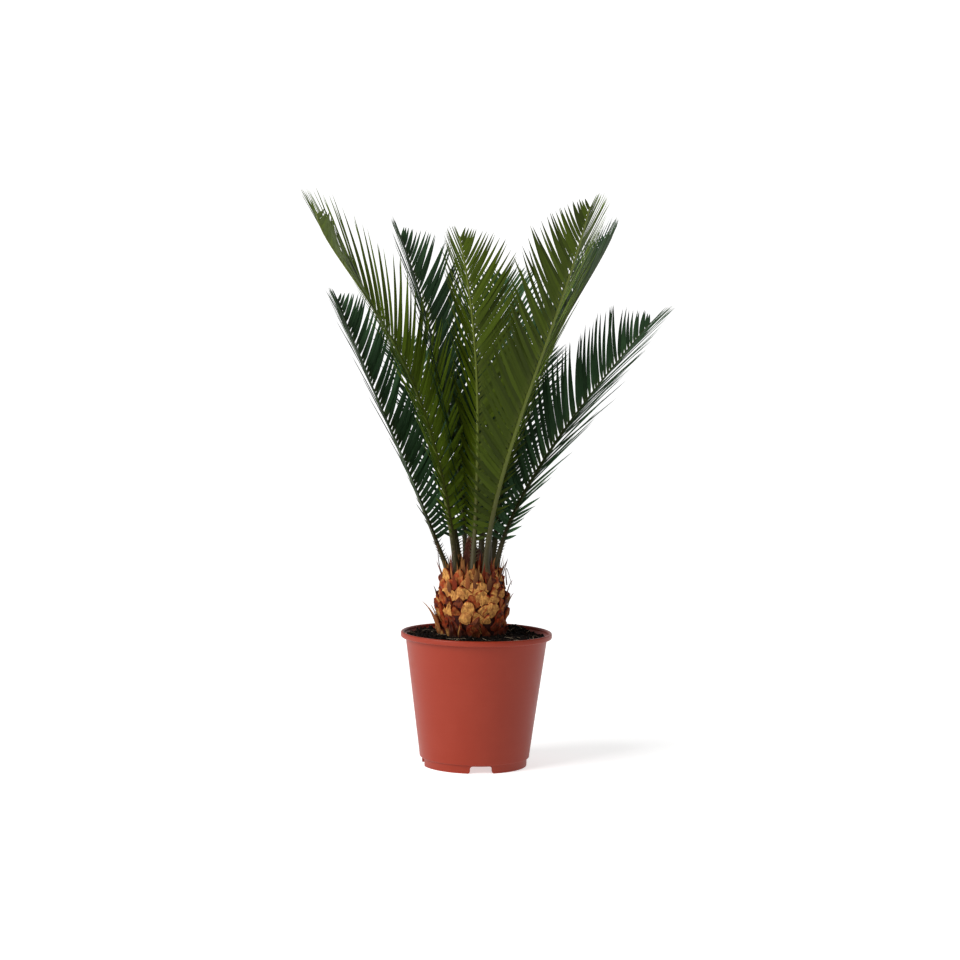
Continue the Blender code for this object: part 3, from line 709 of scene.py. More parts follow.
class PALM_OT_soil(bpy.types.Operator):
    """Build the lumpy soil with loose crumbs and pale fibres on it"""

    bl_idname = "palm.soil"
    bl_label = "Soil"

    def execute(self, context):
        settings = context.scene.palm_soil
        rings, around = 52, 150
        angle = np.linspace(0, 2 * pi, around, endpoint=False)
        way = np.stack([np.cos(angle), np.sin(angle)], -1)
        wall = inner_wall(soil_height(settings, way * POT_HIGH[0]))
        flat = np.linspace(0, 1, rings)[1:, None, None] * wall[:, None] * way
        top = np.concatenate([flat, soil_height(settings, flat)[..., None]], -1)
        lower = (0.120, 0.0125)
        skirt = [np.concatenate([way * inner_wall(z), np.full((around, 1), z)], -1) for z in lower]
        shell = np.concatenate([top, np.stack(skirt)])
        count = shell.shape[0] * around
        place = np.arange(around)
        after = (place + 1) % around
        poles = np.array([[0, 0, settings.stem_level], [0, 0, 0.0104]])
        first = np.stack([np.full(around, count), place, after], -1)
        last = count - around
        under = np.stack([np.full(around, count + 1), last + after, last + place], -1)
        points = np.vstack([shell.reshape(-1, 3), poles])
        bed = surface_object("soil_bed", points, [ring_quads(shell.shape[0], around), first, under])
        damp = soil_finish("damp_soil", settings.colour, settings.crumb_colour)
        dressed(bed, [damp], ["soil"], 180)
        self.crumbs(settings)
        self.fibres(settings)
        return {"FINISHED"}

    def spots(self, random, count):
        """Random places on the soil between caudex and wall, spread evenly over its area."""
        inner, outer = 0.028, 0.0775
        radius = np.sqrt(random.uniform(inner**2, outer**2, count))
        angle = random.uniform(0, 2 * pi, count)
        return np.stack([radius * np.cos(angle), radius * np.sin(angle)], -1)

    def crumbs(self, settings):
        """Loose crumbs: a rough ball of twenty faces, turned, stretched and scaled for each crumb.

        Their middles stay 1.4 radii from the wall, so that none comes through it.
        """
        random = np.random.default_rng(11)
        work = bmesh.new()
        bmesh.ops.create_icosphere(work, subdivisions=1, radius=1.0)
        ball = np.array([vertex.co[:] for vertex in work.verts])
        faces = np.array([[vertex.index for vertex in face.verts] for face in work.faces])
        work.free()
        count = settings.crumb_count
        spots = self.spots(random, count)
        size = settings.crumb_size * random.lognormal(0, 0.5, count).clip(0.4, 2.6)
        furthest = inner_wall(settings.wall_level) - 1.4 * size
        spots = spots * np.minimum(1, furthest / np.hypot(spots[:, 0], spots[:, 1]))[:, None]
        height = soil_height(settings, spots) + size * 0.25
        turn = np.linalg.qr(random.normal(size=(count, 3, 3)))[0]
        rough = 1 + random.uniform(-0.25, 0.25, (count, len(ball), 1))
        stretch = random.uniform(0.6, 1.3, (count, 1, 3))
        shapes = (ball[None] * rough * stretch) @ turn * size[:, None, None]
        centres = np.concatenate([spots, height[:, None]], -1)
        points = centres[:, None] + shapes
        index = np.repeat(random.integers(0, 2, count), len(faces))
        groups = [repeated(faces, count, len(ball))]
        crumbs = surface_object("soil_crumbs", points, groups, material_index=index)
        dark = soil_finish("dark_crumb", settings.colour, settings.crumb_colour)
        pale = soil_finish("dry_crumb", settings.crumb_colour, shade(settings.crumb_colour, 3.0))
        dressed(crumbs, [dark, pale], [], 180)

    def fibres(self, settings):
        """Thin pale fibres that lie on the soil: random arcs that follow its height."""
        random = np.random.default_rng(12)
        count, stations = settings.fibre_count, 9
        spots = self.spots(random, count) * 0.93
        heading = random.uniform(0, 2 * pi, count)[:, None]
        heading = heading + random.uniform(-1.4, 1.4, (count, 1)) * np.linspace(-1, 1, stations)
        length = random.uniform(0.006, 0.020, (count, 1, 1))
        step = np.stack([np.cos(heading), np.sin(heading)], -1) * length / stations
        flat = spots[:, None] + np.cumsum(step, 1)
        furthest = 0.0765
        flat = flat * np.minimum(1, furthest / np.hypot(flat[..., 0], flat[..., 1]))[..., None]
        height = soil_height(settings, flat) + 0.0008 + 0.0012 * np.sin(np.linspace(0, pi, stations))
        lines = np.concatenate([flat, height[..., None]], -1)
        radii = np.full((count, stations), 0.00028) * np.linspace(1, 0.5, stations)
        points, faces = tubes(lines, radii, 5)
        fibres = surface_object("soil_fibres", points, faces)
        finish = Finish("pale_fibre")
        tone = finish.noise(finish.place(), 300.0, 2.0)
        dull, bright = shade(settings.fibre_colour, 0.45), shade(settings.fibre_colour, 1.25)
        colour = finish.mix(tone, dull, bright)
        dressed(fibres, [finish.done(base_color=colour, roughness=0.8)], [], 180)


def base_finish(settings):
    """Old leaf base: a felty tan, orange or maroon face, brighter and then dark edges, and a foot that
    darkens towards the soil. The dark edge band is partly the bases' own maroon and partly painted shade at
    their edges and in the gaps between them.

    The numbers tone and rim come with the mesh: tone picks the face's colour, and rim is 1 at the edges.
    """
    finish = Finish("leaf_base")
    place = finish.place()
    fibres = finish.noise(finish.stretched(place, (1.0, 1.0, 0.22)), 640.0, 5.0, 0.6)
    blotch = finish.noise(place, 150.0, 4.0)
    tone = finish.attribute("tone") + (blotch - 0.5) * 0.70
    grey_tan = shade(settings.tan, 0.62)
    colour = finish.mix(finish.ramp(fibres, ((0.30, 0.0), (0.66, 1.0))), settings.tan, grey_tan)
    colour = finish.mix(finish.ramp(tone, ((0.34, 0.0), (0.62, 1.0))), colour, settings.orange)
    colour = finish.mix(finish.ramp(tone, ((0.78, 0.0), (0.98, 1.0))), colour, shade(settings.maroon, 1.8))
    patches = finish.noise(place, 240.0, 4.0)
    colour = finish.mix(finish.ramp(patches, ((0.45, 0.0), (0.60, 1.0))) * 0.58, colour, settings.rust)
    colour = finish.mix(finish.ramp(fibres, ((0.50, 0.0), (0.78, 1.0))) * 0.60, colour, settings.dry_brown)
    edge_tone_and_shade = finish.attribute("rim") + (blotch - 0.5) * 0.85
    colour = finish.mix(finish.ramp(edge_tone_and_shade, ((0.46, 0.0), (0.70, 1.0))), colour, shade(settings.orange, 0.8))
    # Painted shade: where rim is high the edges, feet and tips of the bases go maroon. This is partly their
    # own colour and partly shade between overlapping bases.
    colour = finish.mix(finish.ramp(edge_tone_and_shade, ((0.76, 0.0), (0.94, 1.0))), colour, settings.maroon)
    # The bases get darker towards the soil, below a height of about 0.166 m, with blotchy edges.
    foot_darkening = ((0.1660 - finish.part(place, 2)) * 55.0 + (blotch - 0.5) * 1.6).clipped()
    colour = finish.mix(foot_darkening * 0.80, colour, shade(settings.maroon, 0.55))
    return finish.done(
        base_color=colour,
        roughness=fibres * 0.2 + 0.6,
        specular_ior_level=0.10,
        normal=finish.bump(fibres + blotch * 1.5, 0.80, 0.0010),
    )


def dry_finish(name, colour, tip):
    """Dry scale leaf: brown with lengthwise fibres, paler towards the tip."""
    finish = Finish(name)
    along = finish.node("ShaderNodeUVMap", {"uv_map": "blade"}, {})[0]
    streaks = finish.noise(finish.stretched(along, (22.0, 1.6, 1.0)), 1.0, 3.0)
    blade = finish.mix(streaks, shade(colour, 0.5), shade(colour, 1.5))
    reach = finish.part(along, 1)
    blade = finish.mix((reach**2.2 * 0.8).clipped(), blade, tip)
    return finish.done(
        base_color=blade, roughness=0.7, specular_ior_level=0.12, normal=finish.bump(streaks, 0.5, 0.0004)
    )


def core_radius(settings, height):
    """The core's radius at a height: a sine rise to the belly and a steepening fall to the shoulder."""
    low, belly = 0.1455, 0.45
    share = np.clip((height - low) / (CAUDEX_TOP - low), 0, 1)
    rise = np.sin(np.clip(share / belly, 0, 1) * pi / 2)
    radius = settings.foot_radius + (settings.belly_radius - settings.foot_radius) * rise
    fall = np.clip((share - belly) / (1 - belly), 0, 1) ** 2.4
    return radius - (settings.belly_radius - settings.top_radius) * fall


def rib_clearance(points):
    """Distance from each point to the nearest frond rib."""
    ribs = np.concatenate([rib_frames(frond, 60)[0][:14] for frond in FRONDS])
    return np.linalg.norm(points[:, None] - ribs[None], axis=-1).min(1)


class PALM_OT_caudex(bpy.types.Operator):
    """Build the caudex: its core, the old leaf bases on it and the dry scale leaves of the crown"""

    bl_idname = "palm.caudex"
    bl_label = "Caudex"

    def execute(self, context):
        settings = context.scene.palm_caudex
        self.core(settings)
        self.leaf_bases(settings)
        self.scale_leaves(settings)
        self.filaments(settings)
        return {"FINISHED"}

    def core(self, settings):
        """The dark core between the leaf bases: a turned barrel with a rough relief."""
        heights = np.linspace(CAUDEX_TOP, 0.1400, 30)
        profile = [(0.0, CAUDEX_TOP + 0.004), (0.012, CAUDEX_TOP + 0.0035), (0.024, CAUDEX_TOP + 0.0015)]
        profile += [(float(core_radius(settings, height)) - 0.001, height) for height in heights]
        profile += [(0.0, 0.1400)]
        core = turned_object("caudex_core", profile, 96)
        points = np.empty(len(core.data.vertices) * 3)
        core.data.vertices.foreach_get("co", points)
        points = points.reshape(-1, 3)
        relief = lattice_noise(points, 0.004, 21) * 0.0009
        points[:, :2] *= (1 + relief / 0.035)[:, None]
        core.data.vertices.foreach_set("co", (points + CAUDEX_CENTRE).ravel())
        # rim and tone of 1.1 make the whole core maroon: partly its own dark colour and partly painted shade
        # in the gaps between the bases.
        for key in ("rim", "tone"):
            stored = core.data.attributes.new(key, "FLOAT", "POINT")
            stored.data.foreach_set("value", np.full(len(points), 1.1))
        dressed(core, [base_finish(settings)], ["caudex"], 180)

    def leaf_bases(self, settings):
        """Old leaf bases in offset rows: upright shields and wedges whose tips lap over the row above.

        A base's line climbs the core from its foot, leaning out by flare * share^2.4. Its half width is
        width / 2 * min(1, 0.6 + 2.4 share) * (1 - share^point): a high point makes it blunt, a low one
        a wedge. Some bases are stated: turn, foot, height, width, thickness, flare, point, lean and tone.
        Its depth is thickness * (0.35 + 0.75 sin(90 degrees * min(1, share / 0.8))), fullest near the top.
        """
        random = np.random.default_rng(31)
        row, place = np.divmod(np.arange(settings.rows * settings.bases_a_row), settings.bases_a_row)
        count = len(row)
        low = row < 2
        rise = (CAUDEX_TOP - 0.0095 - 0.1440) / (settings.rows - 1)
        blunt = random.uniform(size=count) < np.where(low, 0.30, 0.66)
        tone = random.choice((0.02, 0.30, 0.56, 1.00), count, p=(0.38, 0.26, 0.22, 0.14)) + low * 0.30
        made = np.stack([
            360 * (place + 0.5 * row) / settings.bases_a_row + random.normal(0, 4.0, count),
            0.1440 + row * rise + random.normal(0, 0.0016, count),
            settings.base_height * random.uniform(0.75, 1.15, count) * np.where(low, 1.25, 1.0),
            settings.base_width * random.uniform(0.75, 1.20, count) * np.where(low, 0.90, 1.0),
            settings.base_thickness * random.uniform(0.45, 1.60, count),
            random.uniform(-0.0010, 0.0046, count),
            np.where(blunt, random.uniform(2.2, 6.0, count), random.uniform(1.15, 1.8, count)),
            random.normal(0, 0.42, count),
            tone,
        ])
        stated = np.array([
            (-96, 0.1705, 0.0205, 0.0160, 0.0056, 0.0010, 4.4, 0.05, 0.00),
            (-77, 0.1890, 0.0190, 0.0150, 0.0052, 0.0010, 4.0, -0.10, 0.10),
            (-112, 0.1880, 0.0185, 0.0140, 0.0048, 0.0010, 3.6, 0.10, 0.12),
            (-146, 0.1620, 0.0260, 0.0100, 0.0056, 0.0022, 1.4, -0.08, 0.62),
            (-125, 0.1440, 0.0230, 0.0150, 0.0060, 0.0015, 1.3, 0.05, 1.00),
            (-160, 0.1450, 0.0280, 0.0100, 0.0060, 0.0030, 1.3, 0.06, 0.10),
            (-106, 0.1440, 0.0220, 0.0120, 0.0052, 0.0010, 1.5, -0.05, 0.20),
            (-131, 0.1700, 0.0200, 0.0105, 0.0048, 0.0012, 1.6, 0.12, 0.15),
            (-60, 0.1700, 0.0190, 0.0150, 0.0050, 0.0015, 3.2, 0.12, 0.20),
            (-48, 0.1850, 0.0200, 0.0130, 0.0050, 0.0020, 3.6, -0.08, 0.25),
        ]).T
        turn, foot, tall, width, thick, flare, point, lean, tone = np.concatenate([made, stated], 1)
        count, stations = len(turn), 12
        share = np.linspace(0, 1, stations)
        level = foot[:, None] + tall[:, None] * share
        radius = core_radius(settings, np.minimum(level, CAUDEX_TOP)) - 0.0012 + flare[:, None] * share**2.4
        radius = radius - np.maximum(0, level - CAUDEX_TOP) * 0.55
        swing = np.radians(turn)[:, None] + tall[:, None] * share * np.sin(lean)[:, None] / 0.038
        lines = np.stack([radius * np.cos(swing), radius * np.sin(swing), level], -1)
        heading = unit(np.gradient(lines, axis=1))
        outward = np.stack([np.cos(swing), np.sin(swing), 0 * swing], -1)
        across = unit(np.cross(heading, outward))
        above = np.cross(across, heading)
        half = width[:, None] / 2 * np.minimum(1, 0.6 + 2.4 * share) * (1 - share ** point[:, None])
        depth = thick[:, None] * (0.35 + 0.75 * np.sin(np.minimum(1, share / 0.8) * pi / 2))
        section = (
            (-1, -0.9), (-1.02, 0.15), (-0.90, 0.62), (-0.42, 0.70), (0, 0.92),
            (0.42, 0.70), (0.90, 0.62), (1.02, 0.15), (1, -0.9), (0, -1.5),
        )
        points, faces = blades(lines, across, above, half, depth, section)
        ragged = lattice_noise(points, 0.0050, 33) * 0.0017 + lattice_noise(points, 0.0018, 34) * 0.0007
        spread = unit(points * (1, 1, 0))
        points = points + spread * ragged[..., None]
        # rim is 1 at the side edges and rises at each base's foot and tip. The dark band it drives is partly
        # painted shade where the bases lap over each other.
        rim = np.array([1, 0.95, 0.50, 0.12, 0, 0.12, 0.50, 0.95, 1, 1])
        end = np.clip((share[:-1] - 0.62) / 0.28, 0, 1) * 0.72 + np.clip(1 - share[:-1] / 0.15, 0, 1) * 0.5
        rim = np.append(np.maximum(rim, end[:, None] * 0.9 + rim * 0.2).ravel(), 1.0)
        bases = surface_object(
            "leaf_bases",
            points + CAUDEX_CENTRE,
            faces,
            numbers={"rim": np.tile(rim, count), "tone": np.repeat(tone, len(rim))},
        )
        dressed(bases, [bpy.data.materials["leaf_base"]], [], 34)

    def pointed(self, name, roots, way, outward, length, width, curl, finishes, random):
        """Pointed dry leaves: lines that start upwards and curl outwards, with a folded section."""
        count, stations = len(roots), 8
        share = np.linspace(0, 1, stations)
        steps = way[:, None] + (share**1.4)[None, :, None] * curl[:, None, None] * outward[:, None]
        steps = unit(steps) * length[:, None, None] / (stations - 1)
        lines = roots[:, None] + np.cumsum(steps, 1) - steps[:, :1]
        heading = unit(np.gradient(lines, axis=1))
        across = unit(np.cross(heading, outward[:, None]))
        above = np.cross(across, heading)
        half = width[:, None] / 2 * (1 - share**1.6) * (0.75 + 0.5 * np.sin(share * pi))
        depth = np.broadcast_to(np.minimum(0.0011, width[:, None] * 0.22) * (1 - 0.6 * share), half.shape)
        section = ((-1, -0.2), (0, 0.9), (1, -0.2), (0, -0.6))
        points, faces = blades(lines, across, above, half, depth, section)
        sides = len(section)
        uv = np.stack(np.meshgrid(share[:-1], np.array([0, 0.5, 1, 0.5]), indexing="ij"), -1)[..., ::-1]
        uv = np.concatenate([uv.reshape(-1, 2), [[0.5, 1.0]]])
        kind = random.integers(0, len(finishes), count)
        index = np.concatenate([np.repeat(kind, (stations - 2) * sides), np.repeat(kind, sides), kind])
        made = surface_object(
            name, points + CAUDEX_CENTRE, faces, corner_uv=np.tile(uv, (count, 1)), material_index=index
        )
        return dressed(made, finishes, [], 60)

    def scale_leaves(self, settings):
        """Reddish-brown scale leaves that stand among the petioles and a few stubs on the barrel's sides."""
        random = np.random.default_rng(41)
        finishes = [
            dry_finish("scale_leaf_brown", settings.dry_brown, shade(settings.tan, 0.40)),
            dry_finish("scale_leaf_red", shade(settings.orange, 0.55), settings.dry_brown),
            dry_finish("scale_leaf_pale", shade(settings.rust, 1.1), shade(settings.tan, 0.55)),
        ]
        count = settings.scale_leaf_count
        order = np.arange(count)
        angle = order * GOLDEN_ANGLE
        crown_radius = 0.0335
        radius = crown_radius * np.sqrt((order + 6) / (count + 6))
        front = np.stack([np.cos(angle), np.sin(angle), np.zeros(count)], -1)
        outer = (radius / crown_radius)[:, None] ** 4
        roots = front * radius[:, None] + (0, 0, CAUDEX_TOP - 0.003) - outer * (0, 0, 0.007)
        clear = rib_clearance(roots + CAUDEX_CENTRE + (0, 0, 0.012)) > 0.0046
        away = np.hypot(*(roots[:, :2] + CAUDEX_CENTRE[:2] - np.array(BUD_PLACE)).T) > 0.011
        keep = clear & away
        roots, front, radius, outer = roots[keep], front[keep], radius[keep], outer[keep]
        kept = len(roots)
        way = unit(front * (0.06 + 0.30 * outer) + (0, 0, 1))
        length = settings.scale_leaf_length * random.uniform(0.45, 1.0, kept)
        width = random.uniform(0.0026, 0.0058, kept)
        curl = random.uniform(-0.30, 0.30, kept)
        self.pointed("scale_leaves", roots, way, front, length, width, curl, finishes, random)
        stubs = np.array([
            (203, 0.1470, 0.048, 0.0140, 0.95),
            (192, 0.1620, 0.022, 0.0085, 0.55),
            (168, 0.1860, 0.016, 0.0070, 0.40),
            (-4, 0.1930, 0.019, 0.0080, 0.55),
            (3, 0.1770, 0.020, 0.0080, 0.60),
            (-16, 0.1810, 0.016, 0.0070, 0.50),
            (95, 0.1900, 0.020, 0.0080, 0.50),
            (130, 0.1720, 0.024, 0.0085, 0.55),
            (55, 0.1800, 0.019, 0.0080, 0.55),
            (-60, 0.2010, 0.018, 0.0065, 0.25),
            (-84, 0.2010, 0.026, 0.0060, 0.10),
            (-97, 0.2030, 0.024, 0.0055, 0.15),
            (-120, 0.2020, 0.017, 0.0065, 0.20),
            (230, 0.1980, 0.016, 0.0060, 0.30),
        ])
        turn = np.radians(stubs[:, 0])
        front = np.stack([np.cos(turn), np.sin(turn), np.zeros(len(stubs))], -1)
        roots = front * (core_radius(settings, stubs[:, 1]) + 0.0018)[:, None] + stubs[:, 1:2] * (0, 0, 1)
        way = unit(front * 0.12 + (0, 0, 1))
        self.pointed("stem_stubs", roots, way, front, stubs[:, 2], stubs[:, 3], stubs[:, 4], finishes, random)

    def filaments(self, settings):
        """Thin dry threads at the crown's edge, each a smooth arch through three heights."""
        starts = np.array([(-0.0375, -0.010, 0.2060), (0.0330, -0.012, 0.2050), (-0.0260, -0.022, 0.2170)])
        middles = np.array([(-0.0430, -0.012, 0.2270), (0.0320, -0.014, 0.2240), (-0.0290, -0.024, 0.2350)])
        ends = np.array([(-0.0450, -0.014, 0.2500), (0.0385, -0.013, 0.2050), (-0.0250, -0.026, 0.2440)])
        share = np.linspace(0, 1, 14)[None, :, None]
        lines = (
            starts[:, None] * (1 - share) * (1 - 2 * share)
            + middles[:, None] * 4 * share * (1 - share)
            + ends[:, None] * share * (2 * share - 1)
        )
        radii = np.full(lines.shape[:2], 0.0006) * np.linspace(1.2, 0.4, 14)
        points, faces = tubes(lines, radii, 6)
        threads = surface_object("dry_threads", points, faces)
        finish = Finish("dry_thread")
        tone = finish.noise(finish.place(), 200.0, 2.0)
        colour = finish.mix(tone, shade(settings.maroon, 1.0), settings.dry_brown)
        dressed(threads, [finish.done(base_color=colour, roughness=0.75)], [], 180)


class PALM_OT_bud(bpy.types.Operator):
    """Build the crown bud: overlapping woolly scales and the first curled leaflets above them"""

    bl_idname = "palm.bud"
    bl_label = "Bud"

    def execute(self, context):
        settings = context.scene.palm_caudex
        random = np.random.default_rng(51)
        centre = np.array([*BUD_PLACE, 0.0])
        foot, top = CAUDEX_TOP - 0.002, BUD_HIGH[2]
        count, stations = 46, 8
        order = np.arange(count)
        share = order / (count - 1)
        angle = order * GOLDEN_ANGLE
        front = np.stack([np.cos(angle), np.sin(angle), np.zeros(count)], -1)
        radius = 0.0088 * (1 - 0.75 * share)
        roots = centre + front * radius[:, None] + (foot + (top - foot) * 0.55 * share)[:, None] * (0, 0, 1)
        line_share = np.linspace(0, 1, stations)
        inward = -0.9 * line_share[None, :, None] ** 1.5 * (radius / 0.0088)[:, None, None] * 0.5
        steps = unit(np.array([0.0, 0, 1]) + (0.16 + inward) * front[:, None])
        length = (top - foot) * random.uniform(0.34, 0.46, count)
        steps = steps * length[:, None, None] / (stations - 1)
        lines = roots[:, None] + np.cumsum(steps, 1) - steps[:, :1]
        heading = unit(np.gradient(lines, axis=1))
        across = unit(np.cross(heading, front[:, None]))
        above = np.cross(across, heading)
        half = 0.0034 * (1 - line_share**1.8) * (0.8 + 0.4 * np.sin(line_share * pi)) * np.ones((count, 1))
        depth = np.full((count, stations), 0.0012)
        section = ((-1, -0.2), (0, 0.9), (1, -0.2), (0, -0.6))
        points, faces = blades(lines, across, above, half, depth, section)
        uv = np.stack(np.meshgrid(line_share[:-1], np.array([0, 0.5, 1, 0.5]), indexing="ij"), -1)[..., ::-1]
        uv = np.concatenate([uv.reshape(-1, 2), [[0.5, 1.0]]])
        bud = surface_object("bud_scales", points, faces, corner_uv=np.tile(uv, (count, 1)))
        brown = dry_finish("bud_brown", shade(settings.maroon, 1.5), settings.dry_brown)
        dressed(bud, [brown], ["crown_bud"], 60)
        core_profile = ((0, 0.030), (0.003, 0.029), (0.0065, 0.020), (0.0085, 0.008), (0.0088, 0), (0, 0))
        core = turned_object(
            "bud_core",
            [(radius, foot + height) for radius, height in core_profile],
            24,
        )
        finish = Finish("bud_wool")
        wool = finish.noise(finish.place(), 900.0, 4.0, 0.7)
        colour = finish.mix(wool, shade(settings.maroon, 0.6), shade(settings.dry_brown, 0.8))
        wool_finish = finish.done(base_color=colour, roughness=0.9, normal=finish.bump(wool, 0.8, 0.0008))
        dressed(core, [wool_finish], [], 180)
        self.curls(settings, centre, top)
        return {"FINISHED"}

    def curls(self, settings, centre, top):
        """Young leaflets rolled inwards: each is a spiral whose radius falls from its foot to its end."""
        random = np.random.default_rng(52)
        count, stations = 20, 18
        share = np.linspace(0, 1, stations)
        turn = share * 1.35 * 2 * pi
        angle = random.uniform(0, 2 * pi, count)
        front = np.stack([np.cos(angle), np.sin(angle), np.zeros(count)], -1)
        coil = 0.0030 * (1 - 0.6 * share) * random.uniform(0.7, 1.2, (count, 1))
        foot = centre + front * random.uniform(0.001, 0.0055, (count, 1)) + (0, 0, 1) * random.uniform(
            top - 0.017, top - 0.005, (count, 1)
        )
        lines = (
            foot[:, None]
            + front[:, None] * (coil * (np.cos(turn) - 1))[..., None]
            + (coil * np.sin(turn) + 0.004 * share)[..., None] * (0, 0, 1)
        )
        radii = np.full((count, stations), 0.00075) * (1 - 0.55 * share)
        points, faces = tubes(lines, radii, 6)
        curls = surface_object("young_curls", points, faces)
        finish = Finish("young_curl")
        tone = finish.noise(finish.place(), 400.0, 3.0)
        colour = finish.mix(tone, shade(settings.dry_brown, 0.8), (0.30, 0.16, 0.10))
        dressed(curls, [finish.done(base_color=colour, roughness=0.75)], [], 180)


def lean_at(frond, share):
    """How far the rib leans from upright at a share of its length, in radians."""
    return np.radians(frond.lean_base + (frond.lean_tip - frond.lean_base) * share**frond.bend)


def rib_frames(frond, count):
    """Points along the rib with the way it runs, its side and the face it turns to the sky.

    The rib leans by lean_base at its foot and lean_tip at its end, by the power bend of the share along
    it, and its azimuth turns by sweep on the way, by the power sweep_bend. Roll turns side and face about
    the rib, and twist adds to it evenly.
    """
    share = (np.arange(count) + 0.5) / count
    lean = lean_at(frond, share)
    azimuth = np.radians(frond.azimuth + frond.sweep * share**frond.sweep_bend)
    step = np.stack([np.sin(lean) * np.cos(azimuth), np.sin(lean) * np.sin(azimuth), np.cos(lean)], 1)
    dip = RIB_BASE_RADIUS * abs(sin(lean_at(frond, 0.5 / (RIB_POINTS - 1))))
    start = np.array([*frond.seat, CAUDEX_TOP + CLEARANCE + dip])
    points = np.vstack([start, start + np.cumsum(step, 0) * frond.length / count])
    along = unit(np.vstack([step[:1], (step[1:] + step[:-1]) / 2, step[-1:]]))
    turn = np.concatenate([azimuth[:1], (azimuth[1:] + azimuth[:-1]) / 2, azimuth[-1:]])
    side = np.stack([np.sin(turn), -np.cos(turn), 0 * turn], 1)
    side = unit(side - along * (side * along).sum(1)[:, None])
    face = np.cross(side, along)
    roll = np.radians(frond.roll + frond.twist * np.linspace(0, 1, count + 1))[:, None]
    return points, along, np.cos(roll) * side + np.sin(roll) * face, np.cos(roll) * face - np.sin(roll) * side


def at_shares(frames, shares):
    """The rib's four tracks read at shares of its length, by straight interpolation."""
    count = len(frames[0]) - 1
    place = np.clip(shares * count, 0, count - 1e-6)
    low = place.astype(int)
    part = (place - low)[:, None]
    return [track[low] * (1 - part) + track[low + 1] * part for track in frames]


def leaflet_lines(frond, frames, share, hand, reach, jitter, stations):
    """Lines of leaflets: each leaves the rib at its angle and bends forwards and down along its length.

    Its way at a share g is first + g * (0.30 * along + 0.20 * sin(angle) * down), in equal steps.
    """
    root, along, side, face = at_shares(frames, BARE_SHARE + (1 - BARE_SHARE) * 0.995 * share)
    angle = np.radians(42 + 40 * np.exp(-7 * share) - 10 * share**4 + jitter[0])[:, None]
    lift = np.radians(frond.lift + jitter[1])[:, None]
    outward = np.cos(lift) * hand[:, None] * side + np.sin(lift) * face
    first = np.cos(angle) * along + np.sin(angle) * outward
    bend = 0.30 * along + 0.20 * np.sin(angle) * DOWN * (1 + jitter[2][:, None])
    part = ((np.arange(stations) + 0.5) / stations)[None, :, None]
    steps = unit(first[:, None] + part * bend[:, None]) * (reach / stations)[:, None, None]
    lines = np.concatenate([root[:, None], root[:, None] + np.cumsum(steps, 1)], 1)
    return lines, along, first


def other_ribs(frond):
    """Points on every other frond's rib."""
    return np.concatenate([rib_frames(other, 80)[0][2:] for other in FRONDS if other.name != frond.name])


